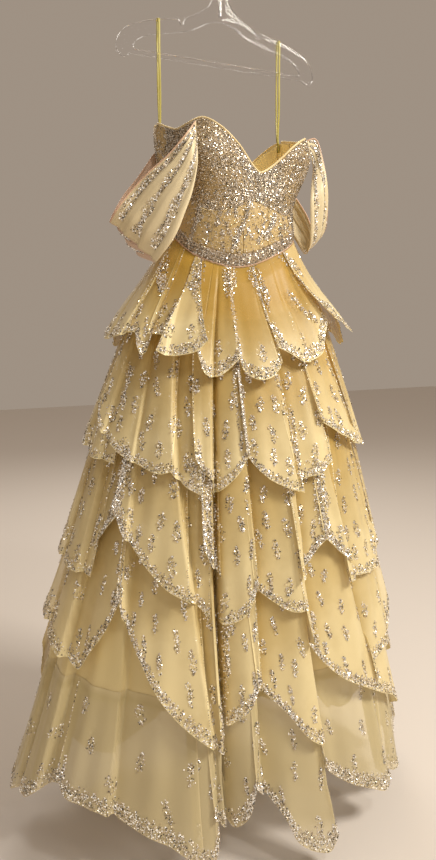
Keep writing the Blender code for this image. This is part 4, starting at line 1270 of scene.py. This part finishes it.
petalNodes = {
    "tier1": (-104, -54, -18.5, 37, 147, 256), "tier2": (-104, -42, -18.5, 49, 147, 256),
    "tier3": (-104, -62, -22, 21, 138, 256), "tier4": (-104, -58, -22, 64, 156, 256),
    "tier5": (-104, -62, -22, 64, 156, 256),
}


# plain scalloped petals round the side and back
def backPetals(start, end, count, notch, low):
    width = (end - start) / count
    made = []
    for n in range(count):
        left = start + width * n
        sway = 0.006 * math.sin(2.1 * n + 0.7)
        edge = [(left - 1.2, notch + 0.004), (left + 0.16 * width, (notch + low) / 2 - 0.008),
                (left + 0.45 * width, low + sway), (left + 0.72 * width, low + 0.012 + sway),
                (left + width + 1.2, notch)]
        made.append(Petal(f"back{n + 1}", left - 1.5, left + width + 1.5, edge, n % 2,
                          0.004, 1, 1))
    return made


# a petal hangs closest where it is sewn on, and further off by its layer towards its hem
def petalSurface(tier, petal):
    style = petalStyle
    hemOut = petalTiers[tier][1] - style["sewnOff"]
    gap = style["layerGap"] * petal.layer
    offset = style["sewnOff"] + gap * style["topLayer"] - style["closest"]

    def surface(u, v):
        angle, height = petalAngles(tier, petal, u, v)
        seam = np.clip(v / 0.08, 0, 1) if tier == "tier5" else 1.0
        out = style["closest"] + offset * seam + hemOut * v ** style["hemPower"]
        out = out + gap * v * (1 - style["topLayer"]) + petal.lift * v ** style["liftPower"]
        side = np.abs(2 * u - 1)
        out = out + style["sideCurl"] * side**6 * v**1.5
        wave = np.sin(9 * u + 2.0 * petal.layer + len(petal.name)) * np.sin(np.pi * u)
        out = out + style["hemWave"] * wave * v**3
        return skirtPoint(angle, height, out)
    return surface


def beadPetal(beads, tier, petal, surface, width, length, density):
    hemBand, motifAcross, motifDown, rowCount = tierBeads[tier]
    style = petalStyle
    count = int(width * hemBand * style["hemCover"] * density)
    u = rng.random(count)
    leaves = np.abs(np.sin(np.pi * (u * width / style["leafPitch"] + 0.35 * np.sin(25 * u)))) ** 0.7
    b = style["hemGap"] + hemBand * (0.55 + 0.75 * leaves) * rng.random(count) ** 0.9
    beads.add(surface, u, 1 - b / length, beadSizes["hem"])
    line = np.linspace(0.005, 0.995, int(width / style["beadStep"]))
    beads.add(surface, line, 1 - style["hemGap"] / length + 0 * line, beadSizes["line"])
    for kind, place in ((petal.leftBeads, 0.0), (petal.rightBeads, 1.0)):
        if not kind:
            continue
        v = np.arange(0.02, 0.99, style["beadStep"] / length)
        inset = (0.0020 + rng.uniform(0, 0.0010, len(v))) / width
        beads.add(surface, np.abs(place - inset), v, beadSizes["line"])
        if kind == 2:
            v = 0.02 + 0.97 * rng.random(int(length * style["edgeCover"] * density))
            leaf = np.abs(np.sin(np.pi * v * length / style["edgeLeafPitch"])) ** 0.8
            inset = (0.0015 + rng.random(len(v)) * (0.004 + 0.0085 * leaf)) / width
            beads.add(surface, np.abs(place - inset), v, beadSizes["motif"])
    for r in range(rowCount):
        v = 1 - (hemBand + style["motifGap"] + r * motifDown) / length
        if v < 0.05:
            break
        here = width * (0.5 + 0.5 * v)
        across = max(1, int(round(here / motifAcross)))
        for n in range(across):
            u = (n + 0.5 + (0.24 if r % 2 else -0.24)) / across + rng.uniform(-0.05, 0.05)
            motif(beads, surface, here, length, u, v + rng.uniform(-0.03, 0.03),
                  motifStyle["tall"], motifStyle["wide"], int(motifStyle["count"] * density),
                  rng.uniform(-0.25, 0.25))


# the angle and height of a place on a petal
def petalAngles(tier, petal, u, v):
    last = len(petal.edge) - 1
    table = np.array([(n / last, a, z) for n, (a, z) in enumerate(petal.edge)])
    gaps = np.hypot(np.diff(table[:, 1]) * 0.006, np.diff(table[:, 2]))
    table[1:, 0] = np.cumsum(gaps) / gaps.sum()
    low = eased(table, u)
    topAngle = petal.left + (petal.right - petal.left) * u
    start = skirtHeight(topAngle, petalTiers[tier][0]) - topGap
    return topAngle + (low[..., 0] - topAngle) * v, start + (low[..., 1] - start) * v


# dense lines and drops of sequins, on whichever petal lies on top there
def beadDenseLines(beads, tier, petals):
    u, v = np.meshgrid(np.linspace(0.01, 0.99, 90), np.linspace(0.01, 0.99, 90))
    u, v = u.ravel(), v.ravel()
    maps = [(petal, *petalAngles(tier, petal, u, v)) for petal in petals]
    steps = petalStyle["lineSpots"]
    for half, *spots in denseLines[tier]:
        spots = np.array(spots, float)
        radius = 0.13 - 0.24 * (spots[:, 1].mean() + 0.52)
        run = np.hypot(np.radians(np.diff(spots[:, 0])) * radius, np.diff(spots[:, 1])).sum()
        path = smoothPath(np.column_stack([spots[:, 0], spots[:, 1] * 200]), steps)
        count = int(run * half * 2 * petalStyle["lineCover"])
        spotOn = rng.integers(0, steps, count)
        place, taper = path[spotOn], 1.15 - 0.45 * spotOn / steps
        share = rng.uniform(-1, 1, (2, count))
        across = share[0] * np.sqrt(1 - share[1] ** 2) * half * taper
        turnAngle = place[:, 0] + np.degrees(across / radius)
        level = place[:, 1] / 200 + share[1] * half
        best = np.full(count, -1)
        spot = np.zeros(count, int)
        for index, (petal, angles, heights) in enumerate(maps):
            far = np.hypot(np.radians(turnAngle[:, None] - angles) * radius,
                           level[:, None] - heights)
            near = far.argmin(1)
            fits = far[np.arange(count), near] < 0.004
            layers = np.array([maps[i][0].layer for i in best])
            higher = fits & ((best < 0) | (petal.layer > layers))
            best[higher] = index
            spot[higher] = near[higher]
        for index, (petal, _, _) in enumerate(maps):
            mine = best == index
            if mine.any():
                shake = rng.uniform(-0.005, 0.005, (2, mine.sum()))
                beads.add(petalSurface(tier, petal), u[spot[mine]] + shake[0],
                          v[spot[mine]] + shake[1], beadSizes["motif"])


def makePetals():
    for tier, (_, _, petals, plain) in petalTiers.items():
        beads, backBeads = BeadList(), BeadList()
        splits = petalNodes[tier]
        finish = cloths["organzaLow" if tier == "tier5" else "organza"]
        petals = [Petal(*petal) for petal in petals]
        for petal in petals + backPetals(*plain):
            surface = petalSurface(tier, petal)
            first, last = petal.edge[0][0], petal.edge[-1][0]
            back = petal.name.startswith("back")
            columns = int(np.clip((last - first) * (1.3 if back else 2.1), 24, 96))
            rows = 22 if back else 28
            u, v = np.meshgrid(np.linspace(0, 1, columns), np.linspace(0, 1, rows) ** 0.85)
            grid = surface(u, v)
            width = float(arc(grid, 1)[-1, -1])
            length = float(np.median(arc(grid, 0)[-1]))
            inEdge = np.minimum(np.minimum(u, 1 - u) * width, (1 - v) * length)
            rim = np.clip(1 - inEdge / petalStyle["rim"], 0, 1)
            if tier == "tier5":
                rim = np.maximum(rim, np.clip(1 - v * length / petalStyle["lowRim"], 0, 1))
            middle = (first + last) / 2
            nodes = [
                f"{tier}_panel{n}" for n, (low, high) in enumerate(zip(splits, splits[1:]), 1)
                if low <= middle < high
            ]
            angle, height = petalAngles(tier, petal, u, v)
            share = skirtShare(angle, height)
            fold = skirtFold(angle, share)
            # paler towards the hem, where the petal stands further off the golden lining; painted
            # shade in the folds, ridges lighter and valleys deeper golden by the fold's depth;
            # lifted petals paler
            paleAndFoldShade = v ** (2.4 if tier == "tier1" else 1.1) + petalStyle["foldPaintedShade"] * fold
            paleAndFoldShade = paleAndFoldShade + petalStyle["valleyPaintedShade"] * np.minimum(fold, 0)
            paleAndFoldShade = paleAndFoldShade + petalStyle["liftPale"] * max(0.0, petal.lift - 0.004)
            clothPiece(f"{tier}_petal_{petal.name}", grid, finish, nodes,
                       lift=np.clip(paleAndFoldShade, 0, 1), rim=rim)
            beadPetal(backBeads if back else beads, tier, petal, surface, width, length,
                      petalStyle["backShare"] if back else 1.0)
        beadDenseLines(beads, tier, petals)
        beads.piece(f"{tier}Sequins")
        backBeads.piece(f"{tier}BackSequins")
        print(f"  {tier}: {len(petals) + plain[2]} petals")


makeLining()
makePetals()

# ---- floor ----
print("floor")
ground = {"size": 14, "height": -1.665, "colour": (0.78, 0.72, 0.66, 1)}


def makeFloor():
    deselect()
    bpy.ops.mesh.primitive_plane_add(size=ground["size"], location=(0, 0, ground["height"]))
    floor = bpy.context.active_object
    floor.name = "floor"
    made, tree, shader = nodeTree("paleFloor")
    fill(tree, shader, {"Base Color": ground["colour"], "Roughness": 0.7})
    floor.data.materials.append(made)


makeFloor()
print("sequins:", sum(beadCounts.values()))
added = [o for o in bpy.data.objects if o.type == "MESH" and o.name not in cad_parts]
print("triangles added:", sum(len(o.data.loops) - 2 * len(o.data.polygons) for o in added))
